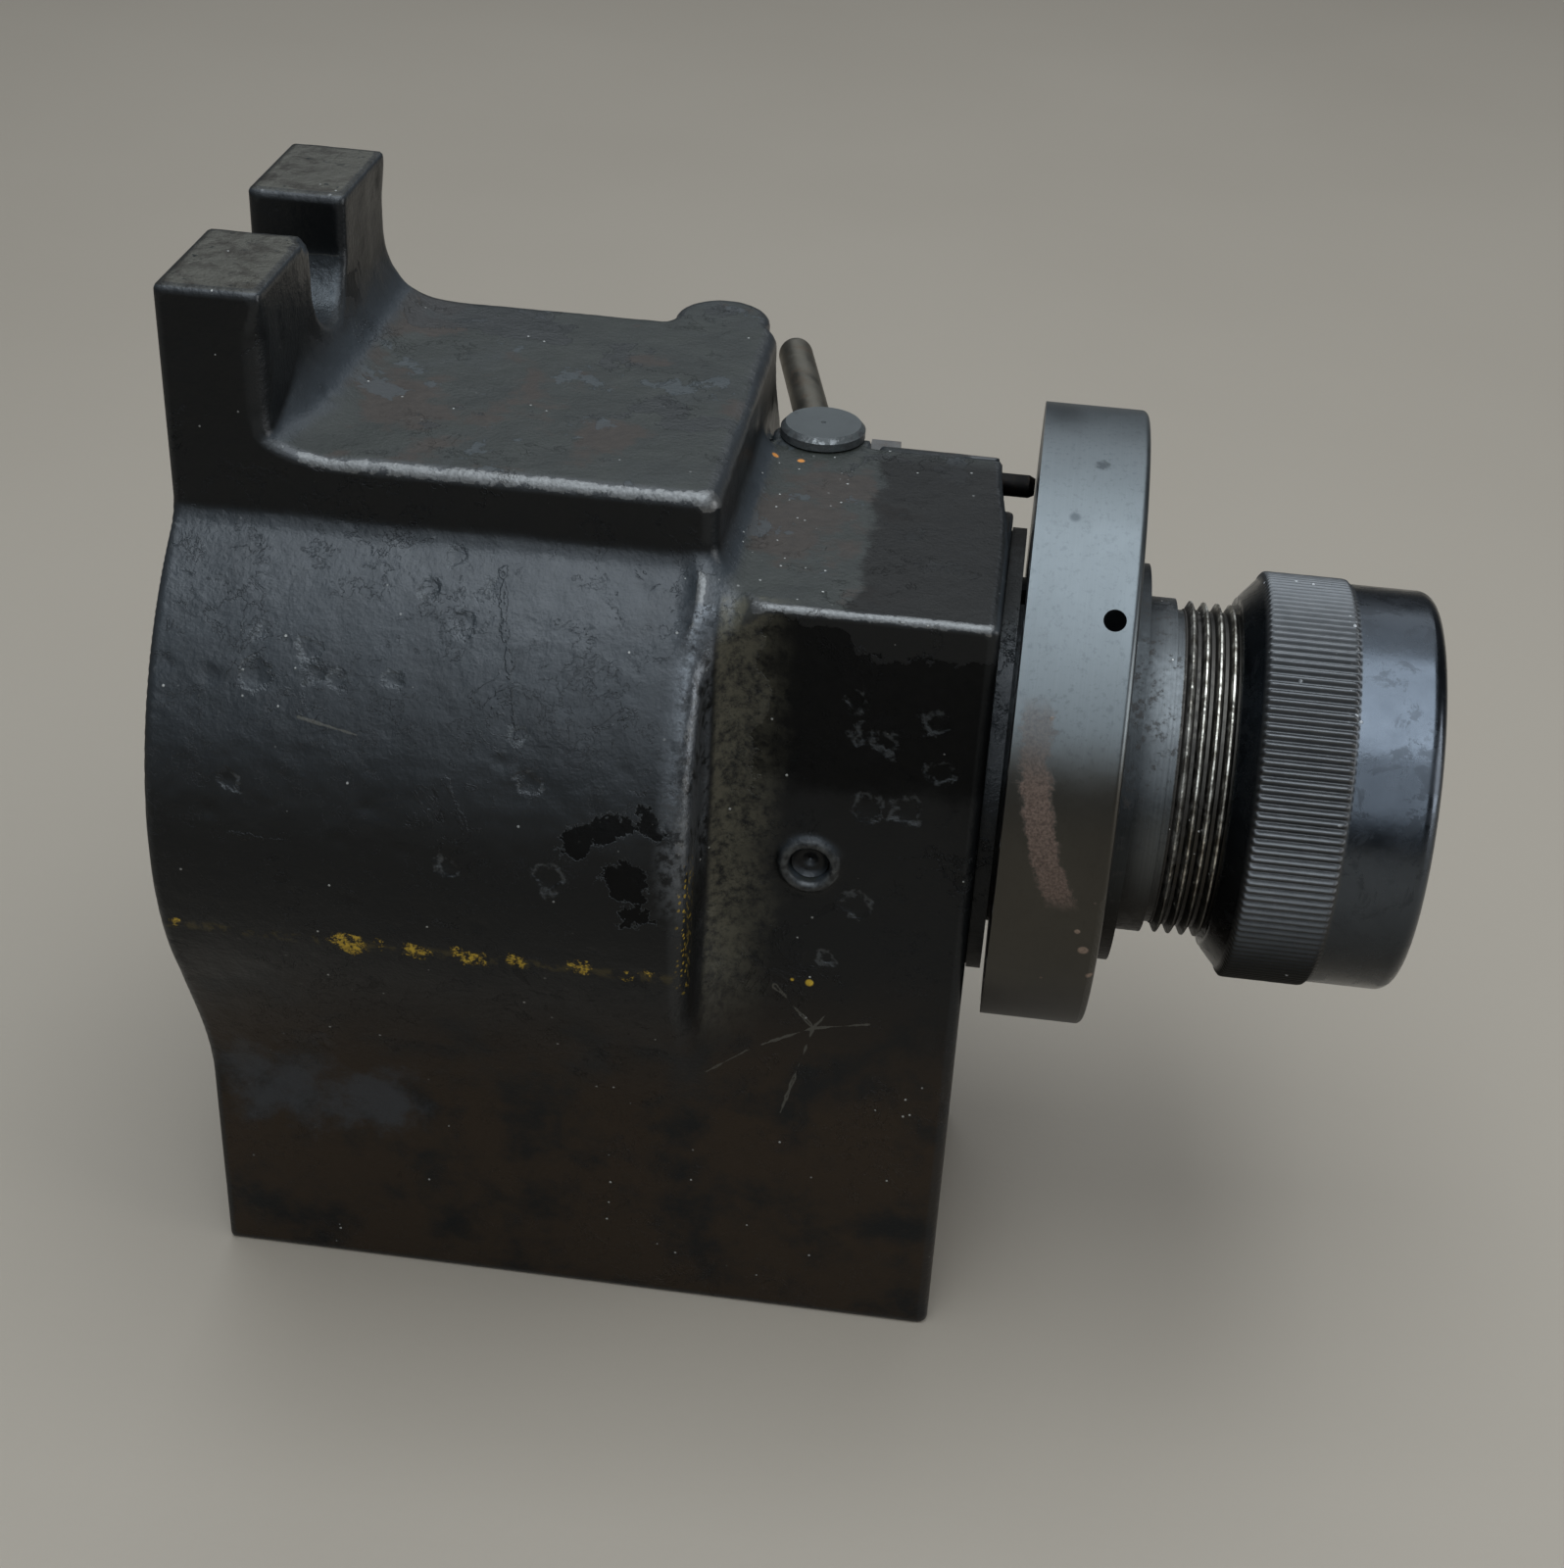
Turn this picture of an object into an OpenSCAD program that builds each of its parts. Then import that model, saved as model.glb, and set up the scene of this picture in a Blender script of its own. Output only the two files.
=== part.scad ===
// Collet index fixture: cast housing, hollow threaded spindle, index plate,
// hand-screwed nose cap and a lever-worked index plunger.
// Millimetres, Z up, X along the spindle towards the nose, origin on the
// base's underside below the spindle axis.

/* [Housing] */
// Length of the casting along the spindle
body_l = 125.6; // [118:0.2:140]
// Height of the spindle axis above the base
spindle_h = 94.4; // [92:0.2:100]
// Radius of the horizontal barrel
barrel_r = 57.6; // [56:0.1:62]
// Front face of the base, in front of the axis
base_front = 40.7; // [40:0.1:46]
// Rear face of the base and front block, behind the axis
base_rear = 18.6; // [18:0.1:20]
// Height of the front block
block_h = 138.8; // [138:0.1:142]
// Half width of the top pad and of the ear
pad_hw = 33.8; // [32:0.1:36]
// Height of the ear's two lug tops
ear_h = 176.8; // [172:0.2:184]
// Thickness of the ear along the spindle
ear_t = 15.8; // [12:0.1:20]
// Width of the ear's bolt slot
slot_w = 18; // [14:0.5:20]

/* [Spindle] */
// Radius of the collet bore
bore_r = 15.9; // [14:0.1:17]
// Outside radius of the nose thread
thread_r = 27.8; // [27.4:0.1:28]
// Pitch of the nose thread
thread_p = 2.2; // [2:0.1:2.5]

/* [Index plate] */
// Radius of the plate
plate_r = 50.8; // [50.4:0.1:56]
// Thickness of the plate
plate_t = 16.6; // [14:0.1:18]
// Distance of the plate's centre above the spindle axis at rest
plate_off = 8; // [0:0.1:8]

/* [Nose cap] */
// Radius of the cap's smooth band
cap_r = 33.2; // [32.8:0.1:36]
// Number of knurl ridges
knurl_n = 150; // [90:2:160]

/* [Lever] */
// Azimuth of the handle rod at rest
rod_az = 103; // [98:1:106]
// Length of the handle rod from the shaft axis
rod_l = 45; // [28:1:48]

/* [Hidden] */
$fn = 96;
eps = 0.02;
xl = -body_l / 2;
xr = body_l / 2;
barrel_end = 20.3;
pad_h = spindle_h + barrel_r;
boss_r = 43.8;
front_seat_r = 36;
front_seat_x = 43.5;
rear_seat_r = 32;
rear_seat_x = -31;
core_r = 29;
ring_r = 37.1;
ring_t = 2.5;
plate_x = xr + 3.3;
seat_r = 29;
flange_r = 33.3;
flange_x = plate_x + plate_t;
shoulder_x = flange_x + 3.3;
thread_x = shoulder_x + 6.4;
nose_x = plate_x + 61.2;
cap_x0 = plate_x + 35;
cap_x1 = plate_x + 66.3;
cap_gap = 0.08;
slot_y = 0.3;
slot_zc = 169;
ear_fillet = 15;
ear_foot = [6, 12];
fillet_r = 5.5;
plunger_y = 20.6;
plunger_z = 133.3;
index_r = norm([plunger_y, plunger_z - spindle_h]);
index_a = -atan2(plunger_y, plunger_z - spindle_h);
pin_r = 1.9;
rod_r = 2.2;
lever_x = 29.8;
lever_y = 20.6;
neck_r = 5.6;
journal_r = 2.2;
crank_e = 4.6;
crank_r = 1.3;
lever_turn = 46;
crank_az = 90 + lever_turn / 2;
handle_r = 3.1;
handle_z = 136;
clip_z = 121.5;
pocket_x0 = 22.5;
slot_x = lever_x + crank_e * cos(crank_az);
pocket_x1 = 47;
room_x1 = 39.4;
pocket_top = 136.2;
relief = [[-10, 0], [7, 2], [19, 2.8], [30, 3.4]];
relief_x = xr - 3.1;
plate_edge = 1.1;
ball_n = 14;
index_steps = concat([for (i = [-6 : 9]) i], [12]);
plug_x = 37.2;
plug_z = 94.4;

// Cylinder along the spindle axis from x0 to x1
module xcyl(x0, x1, r) {
    translate([x0, 0, spindle_h])
        rotate([0, 90, 0])
            cylinder(h = x1 - x0, r = r);
}

// Ring along the spindle axis
module xring(x0, x1, ro, ri) {
    difference() {
        xcyl(x0, x1, ro);
        xcyl(x0 - 1, x1 + 1, ri);
    }
}

// Cone along the spindle axis
module xcone(x0, x1, r0, r1) {
    translate([x0, 0, spindle_h])
        rotate([0, 90, 0])
            cylinder(h = x1 - x0, r1 = r0, r2 = r1);
}

// Box given by its low and high corners
module span(lo, hi) {
    translate(lo)
        cube(hi - lo);
}

// Ring of turned grooves that stands for a thread, along the spindle axis
module xthread(x0, x1, rc, depth, p) {
    n = floor((x1 - x0) / p);
    pts = [for (i = [0 : n - 1]) each [
        [rc, (i + 0.12) * p],
        [rc + depth, (i + 0.44) * p],
        [rc + depth, (i + 0.56) * p],
        [rc, (i + 0.88) * p]]];
    translate([x0, 0, spindle_h])
        rotate([0, 90, 0])
            rotate_extrude()
                polygon(concat([[rc - 1.5, 0], [rc, 0]], pts, [[rc, n * p], [rc - 1.5, n * p]]));
}

module ear_blank() {
    span([xl, -pad_hw, spindle_h], [xl + ear_t, pad_hw, ear_h]);
    difference() {
        span([xl + ear_t - eps, -pad_hw, pad_h - 4], [xl + ear_t + ear_foot[0], pad_hw, pad_h + ear_foot[1]]);
        translate([xl + ear_t + ear_fillet, -pad_hw - 1, pad_h + ear_foot[1]])
            rotate([-90, 0, 0])
                cylinder(h = 2 * pad_hw + 2, r = ear_fillet);
    }
}

// Concave fillets where the barrel and pad end meet the front block
module end_fillets() {
    x1 = barrel_end + fillet_r;
    intersection() {
        union() {
            xcyl(barrel_end - eps, x1, barrel_r);
            span([barrel_end - eps, -pad_hw, spindle_h], [x1, base_rear, pad_h]);
        }
        union() {
            difference() {
                span([barrel_end - eps, -base_front - fillet_r, 40], [x1, -base_front + 1, block_h]);
                translate([x1, -base_front - fillet_r, 39])
                    cylinder(h = 120, r = fillet_r);
            }
            difference() {
                span([barrel_end - eps, -base_front, block_h - 1], [x1, base_rear, block_h + fillet_r]);
                translate([x1, -base_front - 1, block_h + fillet_r])
                    rotate([-90, 0, 0])
                        cylinder(h = 80, r = fillet_r);
            }
        }
    }
}

module bearing_bore() {
    xcyl(xl - 1, xl + 9, rear_seat_r + 2.5);
    xcyl(xl + 8, rear_seat_x, rear_seat_r);
    xcyl(xl + 8, xr + 1, core_r + 0.6);
    xcyl(front_seat_x, xr - 5, front_seat_r);
    xcyl(xr - 5.02, xr + 1, front_seat_r + 0.6);
}

module housing() {
    color([0.11, 0.12, 0.12])
    difference() {
        union() {
            xcyl(xl, barrel_end, barrel_r);
            span([xl, -base_front, 0], [xr, base_rear, spindle_h]);
            span([barrel_end - eps, -base_front, 0], [xr, base_rear, block_h]);
            // Round boss on the block's rear side
            intersection() {
                xcyl(barrel_end - 1, xr, boss_r);
                span([barrel_end - 2, -base_front + 1, 30], [xr + 1, boss_r + 1, block_h]);
            }
            span([xl, -pad_hw, spindle_h], [barrel_end, pad_hw, pad_h]);
            ear_blank();
            // Rounded boss at the pad's rear right corner
            translate([10, pad_hw + 3.4, 120])
                cylinder(h = pad_h - 120, r = 8.2);
            // Rib that carries the plunger
            span([barrel_end - 1, 12, 100], [xr, 21, 137.2]);
            span([barrel_end - 1, 12, 100], [xr, 28.4, 129.8]);
            translate([barrel_end - 1, 21, 129.8])
                rotate([0, 90, 0])
                    cylinder(h = xr - barrel_end + 1, r = 7.4);
            // Lever boss
            translate([lever_x, lever_y, 112])
                cylinder(h = 139 - 112, r = 8.3);
            end_fillets();
        }
        bearing_bore();
        // Round-bottomed bolt slot in the ear
        translate([xl - 1, slot_y, slot_zc])
            rotate([0, 90, 0])
                cylinder(h = ear_t + 20, r = slot_w / 2);
        span([xl - 1, slot_y - slot_w / 2, slot_zc], [xl + ear_t + 6, slot_y + slot_w / 2, ear_h + 1]);
        // Vertical edges of the front block, rounded
        difference() {
            span([xr - 2, -base_front - 1, -1], [xr + 1, -base_front + 2, block_h + 1]);
            translate([xr - 2, -base_front + 2, -2])
                cylinder(h = block_h + 4, r = 2);
        }
        // Plunger bore, bushing seat and pocket for the yoke
        translate([pocket_x1 - 1, plunger_y, plunger_z])
            rotate([0, 90, 0])
                cylinder(h = 30, r = rod_r + 0.05);
        translate([xr - 9, plunger_y, plunger_z])
            rotate([0, 90, 0])
                cylinder(h = 20, r = 3.6);
        span([pocket_x0, 13.5, 125.6], [pocket_x1 - 4.8, 60, pocket_top]);
        span([pocket_x1 - 5, 16.9, 127.1], [pocket_x1, 60, pocket_top]);
        // Room for the handle rod behind the lever
        span([pocket_x0, lever_y, 132], [room_x1, 60, 142]);
        translate([lever_x, lever_y, 130])
            cylinder(h = 12, r = neck_r + 0.06);
        translate([lever_x, lever_y, 121])
            cylinder(h = 11, r = journal_r + 0.05);
        // Clearance for the lever's head
        translate([lever_x, lever_y, 139])
            cylinder(h = 8, r = 7.4);
        // Spot face under the lever's clip
        span([lever_x - 4.8, lever_y - 4.7, clip_z - 1.1], [lever_x + 4.8, 60, clip_z + 1.2]);
        // Relief round the plunger's end: the right face falls away towards the rear
        difference() {
            translate([0, 0, 116])
                linear_extrude(height = block_h - 115)
                    polygon(concat([for (p = relief) [xr - p[1], p[0]]], [[xr + 1, 30], [xr + 1, -10]]));
            xcyl(relief_x - 1, xr + 2, 39.5);
        }
        // Tapped hole in the front face
        translate([plug_x, -base_front - 1, plug_z])
            rotate([-90, 0, 0])
                cylinder(h = 13, r = 3);
        // Cored pockets in the base's underside
        for (x0 = [-48, 12])
            span([x0, -base_front + 12, -1], [x0 + 36, base_rear - 10, 26]);
        // Hold-down holes in the base's underside
        for (sx = [-1, 1])
            translate([sx * 54, 0, -1])
                cylinder(h = 17, r = 4.25);
    }
}

module front_retainer() {
    color([0.16, 0.17, 0.18])
    difference() {
        union() {
            xcyl(xr - 4.95, xr + 0.1, front_seat_r + 0.5);
            xcyl(xr + 0.1, xr + ring_t, ring_r);
        }
        xcyl(xr - 6, xr + 6, seat_r + 0.45);
        xcyl(xr - 5, xr - 1, seat_r + 3.2);
        for (i = [0 : 3])
            translate([xr + 1, 0, spindle_h])
                rotate([45 + 90 * i, 0, 0])
                    translate([0, 0, 33.6])
                        rotate([0, 90, 0])
                            cylinder(h = 5, r = 1.6);
    }
}

module front_seal() {
    color([0.06, 0.06, 0.06])
    xring(xr - 4.4, xr - 1.02, seat_r + 3.15, seat_r + 0.03);
}

module rear_retainer() {
    color([0.16, 0.17, 0.18])
    difference() {
        xcyl(xl + 2.2, xl + 8, rear_seat_r + 2.4);
        xcyl(xl - 1, xl + 10, 23);
        xcyl(xl + 4, xl + 9, 25.4);
        for (i = [0 : 3])
            translate([xl + 1, 0, spindle_h])
                rotate([90 * i, 0, 0])
                    translate([0, 0, 30])
                        rotate([0, 90, 0])
                            cylinder(h = 4, r = 1.6);
    }
}

module rear_seal() {
    color([0.06, 0.06, 0.06])
    xring(xl + 4.02, xl + 7, 25.35, 22.52);
}

module race(x0, w, ro, ri, rm, rb) {
    difference() {
        xring(x0, x0 + w, ro, ri);
        translate([x0 + w / 2, 0, spindle_h])
            rotate([0, 90, 0])
                rotate_extrude()
                    translate([rm, 0])
                        circle(r = rb + 0.05, $fn = 48);
    }
}

module balls(x0, w, rm, rb) {
    for (i = [0 : ball_n - 1])
        translate([x0 + w / 2, 0, spindle_h])
            rotate([i * 360 / ball_n, 0, 0])
                translate([0, 0, rm])
                    sphere(r = rb, $fn = 24);
    difference() {
        xring(x0 + 1.5, x0 + w - 1.5, rm + 0.7, rm - 0.7);
        for (i = [0 : ball_n - 1])
            translate([x0 + w / 2, 0, spindle_h])
                rotate([i * 360 / ball_n, 0, 0])
                    cylinder(h = rm + 9, r = rb + 0.25);
    }
}

module front_outer_race() {
    color([0.62, 0.63, 0.64])
    race(front_seat_x + 0.5, 13.5, front_seat_r, 32.7, 30.9, 3);
}

module front_inner_race() {
    color([0.62, 0.63, 0.64])
    race(front_seat_x + 0.5, 13.5, 29.1, 25, 30.9, 3);
}

module front_balls() {
    color([0.72, 0.73, 0.74])
    balls(front_seat_x + 0.5, 13.5, 30.9, 3);
}

module rear_outer_race() {
    color([0.62, 0.63, 0.64])
    race(rear_seat_x - 12.5, 12, rear_seat_r, 29.3, 27.1, 2.8);
}

module rear_inner_race() {
    color([0.62, 0.63, 0.64])
    race(rear_seat_x - 12.5, 12, 25.1, 22.5, 27.1, 2.8);
}

module rear_balls() {
    color([0.72, 0.73, 0.74])
    balls(rear_seat_x - 12.5, 12, 27.1, 2.8);
}

module outer_spacer() {
    color([0.45, 0.46, 0.47])
    xring(xl + 8.2, rear_seat_x - 12.7, rear_seat_r - 0.02, 29);
}

module inner_spacer() {
    color([0.45, 0.46, 0.47])
    xring(rear_seat_x - 0.5, front_seat_x + 0.4, 28, 25.02);
}

module spindle() {
    color([0.25, 0.26, 0.28])
    difference() {
        union() {
            xcyl(xl + 0.8, rear_seat_x + 1, 22.5 - eps);
            xcyl(rear_seat_x - 0.4, front_seat_x + 14, 25 - eps);
            xcyl(front_seat_x + 14, flange_x, seat_r);
            xcyl(flange_x, shoulder_x, flange_r);
            xcyl(shoulder_x, shoulder_x + 4.9, 28);
            xcyl(shoulder_x + 4.9, thread_x, thread_r - 1.6);
            xcyl(thread_x - eps, nose_x - 1, thread_r - 1.45);
            xthread(thread_x, nose_x - 1.2, thread_r - 1.4, 1.4, thread_p);
            xcone(nose_x - 1, nose_x, thread_r - 1.45, thread_r - 2.4);
        }
        xcyl(xl - 1, nose_x + 1, bore_r);
        xcone(nose_x - 16, nose_x + 0.01, bore_r - 0.01, 18.75);
        xcyl(xl - 1, xl + 12, bore_r + 0.6);
        // Keyway for the plate
        span([plate_x - 1, -2.5, spindle_h + seat_r - 3], [flange_x - 2, 2.5, spindle_h + seat_r + 1]);
        // Keyway for the lock washer
        span([xl - 1, -2, spindle_h + 20.4], [rear_seat_x - 12.6, 2, spindle_h + 24]);
    }
}

module lock_washer() {
    color([0.5, 0.51, 0.52])
    difference() {
        union() {
            xring(rear_seat_x - 14, rear_seat_x - 12.55, 27.5, 22.55);
            span([rear_seat_x - 14, -1.9, spindle_h + 20.6], [rear_seat_x - 12.55, 1.9, spindle_h + 23]);
        }
        xcyl(rear_seat_x - 20, rear_seat_x, 20.45);
    }
}

module lock_nut() {
    color([0.34, 0.35, 0.37])
    difference() {
        xring(rear_seat_x - 22, rear_seat_x - 14.05, 27.5, 22.55);
        for (i = [0 : 3])
            translate([rear_seat_x - 18, 0, spindle_h])
                rotate([45 + 90 * i, 0, 0])
                    span([-5, -2.5, 25.4], [5, 2.5, 30]);
    }
}

module plate_pos() {
    translate([plate_x, 0, spindle_h + plate_off])
        rotate([0, 90, 0])
            children();
}

module index_plate() {
    color([0.55, 0.58, 0.6])
    difference() {
        plate_pos()
            rotate_extrude($fn = 128)
                union() {
                    square([plate_r - plate_edge, plate_t]);
                    square([plate_r, plate_t - plate_edge]);
                    translate([plate_r - plate_edge, plate_t - plate_edge])
                        circle(r = plate_edge, $fn = 40);
                }
        xcyl(plate_x - 1, plate_x + plate_t + 1, seat_r + 0.01);
        span([plate_x - 1, -2.5, spindle_h], [flange_x - 2, 2.5, spindle_h + seat_r + 2.4]);
        // Index holes every 15 degrees where the plate is wide enough, and the half turn's open notch
        for (i = index_steps)
            translate([plate_x - 1, 0, spindle_h])
                rotate([index_a + 15 * i, 0, 0])
                    translate([0, 0, index_r])
                        rotate([0, 90, 0])
                            cylinder(h = 9, r = pin_r + 0.1, $fn = 40);
        // Radial tapped holes for the set screws
        for (a = [38, -82])
            translate([flange_x - 3.6, 0, spindle_h])
                rotate([a, 0, 0])
                    cylinder(h = 70, r = 1.7, $fn = 40);
    }
}

module plate_key() {
    color([0.42, 0.43, 0.44])
    span([plate_x + 1, -2.45, spindle_h + seat_r - 2.9], [flange_x - 2.5, 2.45, spindle_h + seat_r + 2.2]);
}

module plate_set_screws() {
    color([0.12, 0.12, 0.13])
    for (a = [38, -82])
        translate([flange_x - 3.6, 0, spindle_h])
            rotate([a, 0, 0])
                translate([0, 0, seat_r + 0.1])
                    difference() {
                        cylinder(h = 20, r = 1.65, $fn = 40);
                        translate([0, 0, 17.6])
                            cylinder(h = 3, r = 0.9, $fn = 6);
                    }
}

module side_plug() {
    color([0.14, 0.15, 0.15])
    translate([plug_x, -base_front + 0.3, plug_z])
        rotate([-90, 0, 0])
            difference() {
                cylinder(h = 9, r = 2.98);
                translate([0, 0, -1])
                    cylinder(h = 3.2, r = 1.5, $fn = 6);
            }
}

module knurl_profile() {
    polygon([for (i = [0 : 2 * knurl_n - 1])
        let (a = 180 * i / knurl_n, r = cap_r + (i % 2 == 0 ? 0.75 : 0.2))
        [r * cos(a), r * sin(a)]]);
}

module nose_cap() {
    color([0.13, 0.14, 0.16])
    difference() {
        union() {
            xcone(cap_x0, cap_x0 + 3.4, cap_r - 3.6, cap_r + 0.2);
            translate([cap_x0 + 3.3, 0, spindle_h])
                rotate([0, 90, 0])
                    linear_extrude(height = 14.2)
                        knurl_profile();
            xcyl(cap_x0 + 17.4, cap_x1 - 2.4, cap_r);
            translate([cap_x1 - 2.5, 0, spindle_h])
                rotate([0, 90, 0])
                    rotate_extrude()
                        intersection() {
                            union() {
                                square([cap_r - 2.5, 2.5]);
                                translate([cap_r - 2.5, 0])
                                    circle(r = 2.5, $fn = 48);
                            }
                            square([cap_r, 2.5]);
                        }
        }
        // Threaded bore, with the threads cut as rings
        xcyl(cap_x0 - 1, nose_x + 0.5, thread_r - 1.4 + cap_gap);
        xthread(thread_x + thread_p * floor((cap_x0 - thread_x) / thread_p), nose_x - 1.2 + cap_gap,
            thread_r - 1.4 + cap_gap, 1.45, thread_p);
        xcyl(cap_x0 - 1, cap_x0 + 1.6, thread_r + 0.3);
        xcyl(nose_x - 2, cap_x1 + 1, 23.4);
        xcone(cap_x1 - 1.5, cap_x1 + 0.01, 23.3, 25);
    }
}

module plunger_bushing() {
    color([0.5, 0.5, 0.48])
    translate([xr - 9, plunger_y, plunger_z])
        rotate([0, 90, 0])
            difference() {
                cylinder(h = relief_x - xr + 9, r = 3.58);
                translate([0, 0, -1])
                    cylinder(h = 12, r = pin_r + 0.04);
            }
}

module index_plunger() {
    color([0.4, 0.41, 0.42])
    translate([0, plunger_y, plunger_z])
        rotate([0, 90, 0]) {
            translate([0, 0, 39])
                cylinder(h = 9.8, r = rod_r);
            translate([0, 0, 48.7])
                cylinder(h = plate_x - 1.3 - 48.7, r = pin_r);
            translate([0, 0, plate_x - 1.3])
                cylinder(h = 1, r1 = pin_r, r2 = pin_r - 0.5);
        }
}

module plunger_yoke() {
    color([0.42, 0.42, 0.42])
    difference() {
        union() {
            span([24.6, 15, 126.2], [38, 28.6, 129.6]);
            span([37.6, 17.3, 127.5], [42.6, 28, 135.9]);
        }
        translate([35, plunger_y, plunger_z])
            rotate([0, 90, 0])
                cylinder(h = 10, r = rod_r + 0.01);
        // Fork opening round the lever's journal
        span([24, lever_y - 2.6, 125], [lever_x + 2.6, lever_y + 2.6, 130]);
        // Cross slot for the crank pin
        span([slot_x - crank_r - 0.16, lever_y + 1, 125],
            [slot_x + crank_r + 0.16, lever_y + crank_e + crank_r + 0.3, 130]);
        translate([40.1, 29, plunger_z])
            rotate([90, 0, 0])
                cylinder(h = 7, r = 1);
    }
}

module yoke_screw() {
    color([0.2, 0.2, 0.2])
    translate([40.1, 27.9, plunger_z])
        rotate([90, 0, 0])
            difference() {
                cylinder(h = 27.9 - plunger_y - rod_r - 0.02, r = 0.98);
                translate([0, 0, -1])
                    cylinder(h = 2, r = 0.5, $fn = 6);
            }
}

module lever_shaft() {
    color([0.36, 0.38, 0.38])
    difference() {
        union() {
            translate([lever_x, lever_y, 139.2]) {
                cylinder(h = 1.3, r = 7.1);
                translate([0, 0, 1.3])
                    cylinder(h = 0.9, r1 = 7.1, r2 = 6.3);
            }
            translate([lever_x, lever_y, 130.2])
                cylinder(h = 9.1, r = neck_r);
            translate([lever_x, lever_y, clip_z - 0.7])
                cylinder(h = 130.4 - clip_z + 0.7, r = journal_r);
            translate([slot_x, lever_y + crank_e * sin(crank_az), 126])
                cylinder(h = 4.4, r = crank_r);
        }
        // Centre mark in the head
        translate([lever_x, lever_y, 140.9])
            cylinder(h = 1, r1 = 0.2, r2 = 0.7);
        // Tapped hole for the handle rod
        translate([lever_x, lever_y, handle_z])
            rotate([0, 90, rod_az])
                cylinder(h = 12, r = 2);
        // Groove for the clip
        translate([lever_x, lever_y, clip_z])
            difference() {
                cylinder(h = 1.1, r = 4);
                translate([0, 0, -1])
                    cylinder(h = 4, r = 1.6);
            }
    }
}

module lever_handle() {
    color([0.45, 0.36, 0.28])
    translate([lever_x, lever_y, handle_z])
        rotate([0, 90, rod_az]) {
            translate([0, 0, 1])
                cylinder(h = 6, r = 2 - eps);
            translate([0, 0, neck_r + 0.3])
                cylinder(h = rod_l - 3 - neck_r - 0.3, r = handle_r);
            translate([0, 0, rod_l - 3.05])
                intersection() {
                    sphere(r = handle_r, $fn = 48);
                    cylinder(h = 4, r = 4);
                }
        }
}

module lever_clip() {
    color([0.3, 0.3, 0.31])
    translate([lever_x, lever_y, clip_z + 0.05])
        difference() {
            cylinder(h = 1, r = 4.2);
            translate([0, 0, -1])
                cylinder(h = 3, r = 1.62);
            span([-1.2, -6, -1], [1.2, 0, 2]);
        }
}

housing();
front_retainer();
rear_retainer();
front_seal();
rear_seal();
front_outer_race();
rear_outer_race();
outer_spacer();
plunger_bushing();
side_plug();
spindle();
front_inner_race();
rear_inner_race();
front_balls();
rear_balls();
inner_spacer();
lock_washer();
lock_nut();
index_plate();
plate_key();
plate_set_screws();
nose_cap();
index_plunger();
plunger_yoke();
yoke_screw();
lever_shaft();
lever_handle();
lever_clip();
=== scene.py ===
"""Looks for a collet index fixture: a cast, black-painted housing with a hollow threaded spindle,
a ground index plate, a knurled nose cap and a lever-worked plunger. Lengths are in millimetres
until a mesh is made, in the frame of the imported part: X along the spindle, Y to the rear, Z up."""

import math

import bpy
import numpy as np
from mathutils import Matrix, Vector, noise


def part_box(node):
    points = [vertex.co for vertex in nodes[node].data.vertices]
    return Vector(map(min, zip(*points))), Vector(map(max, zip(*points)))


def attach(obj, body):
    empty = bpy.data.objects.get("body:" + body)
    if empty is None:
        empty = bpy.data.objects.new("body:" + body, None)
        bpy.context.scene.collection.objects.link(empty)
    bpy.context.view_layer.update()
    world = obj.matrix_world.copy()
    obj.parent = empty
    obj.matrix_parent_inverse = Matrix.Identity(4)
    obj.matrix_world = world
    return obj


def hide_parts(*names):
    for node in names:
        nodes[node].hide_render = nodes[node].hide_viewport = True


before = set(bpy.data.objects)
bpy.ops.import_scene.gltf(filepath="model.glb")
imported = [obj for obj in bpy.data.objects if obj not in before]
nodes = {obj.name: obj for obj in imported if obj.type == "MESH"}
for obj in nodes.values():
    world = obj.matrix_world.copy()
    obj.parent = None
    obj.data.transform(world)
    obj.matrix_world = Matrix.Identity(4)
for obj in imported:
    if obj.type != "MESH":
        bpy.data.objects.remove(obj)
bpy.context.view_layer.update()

MM = 0.001
SETTLE_ROUNDS = 4
FULL_CELL, QUICK_CELL = 0.8, 1.1
rng = np.random.default_rng(11)


def box_mm(node):
    """Low and high corner of a CAD node in millimetres."""
    lo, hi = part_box(node)
    return np.array(lo) / MM, np.array(hi) / MM


# ---------------------------------------------------------------- sizes, from the frame

HOUSING_LO, HOUSING_HI = box_mm("housing")
CAP_LO, CAP_HI = box_mm("nose_cap")
HEAD_Z = box_mm("lever_shaft")[1][2]
PLUG_LO, PLUG_HI = box_mm("side_plug")
NOSE_END = box_mm("spindle")[1][0]
CLIP_LO, CLIP_HI = box_mm("lever_clip")

X_LEFT, X_RIGHT = HOUSING_LO[0], HOUSING_HI[0]
AXIS_Z = (CAP_LO[2] + CAP_HI[2]) / 2
BARREL_R = -HOUSING_LO[1]
BARREL_END = 20.3
PAD_Z = AXIS_Z + BARREL_R
PAD_HALF = 33.8
EAR_Z = HOUSING_HI[2]
EAR_X = X_LEFT + 15.8
EAR_FOOT_R, EAR_FOOT_H = 15.0, 12.0
SLOT_Y, SLOT_Z, SLOT_R = 0.3, 169.0, 9.0
BASE_FRONT, BASE_REAR = -40.7, 18.6
BLOCK_Z = 138.8
BOSS_R = 43.8
LOBE_X, LOBE_Y, LOBE_R = 10.0, PAD_HALF + 3.4, 8.2
PLUNGER_Y, PLUNGER_Z = 20.6, 133.3
LEVER_X, LEVER_Y = (CLIP_LO[0] + CLIP_HI[0]) / 2, PLUNGER_Y
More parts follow.
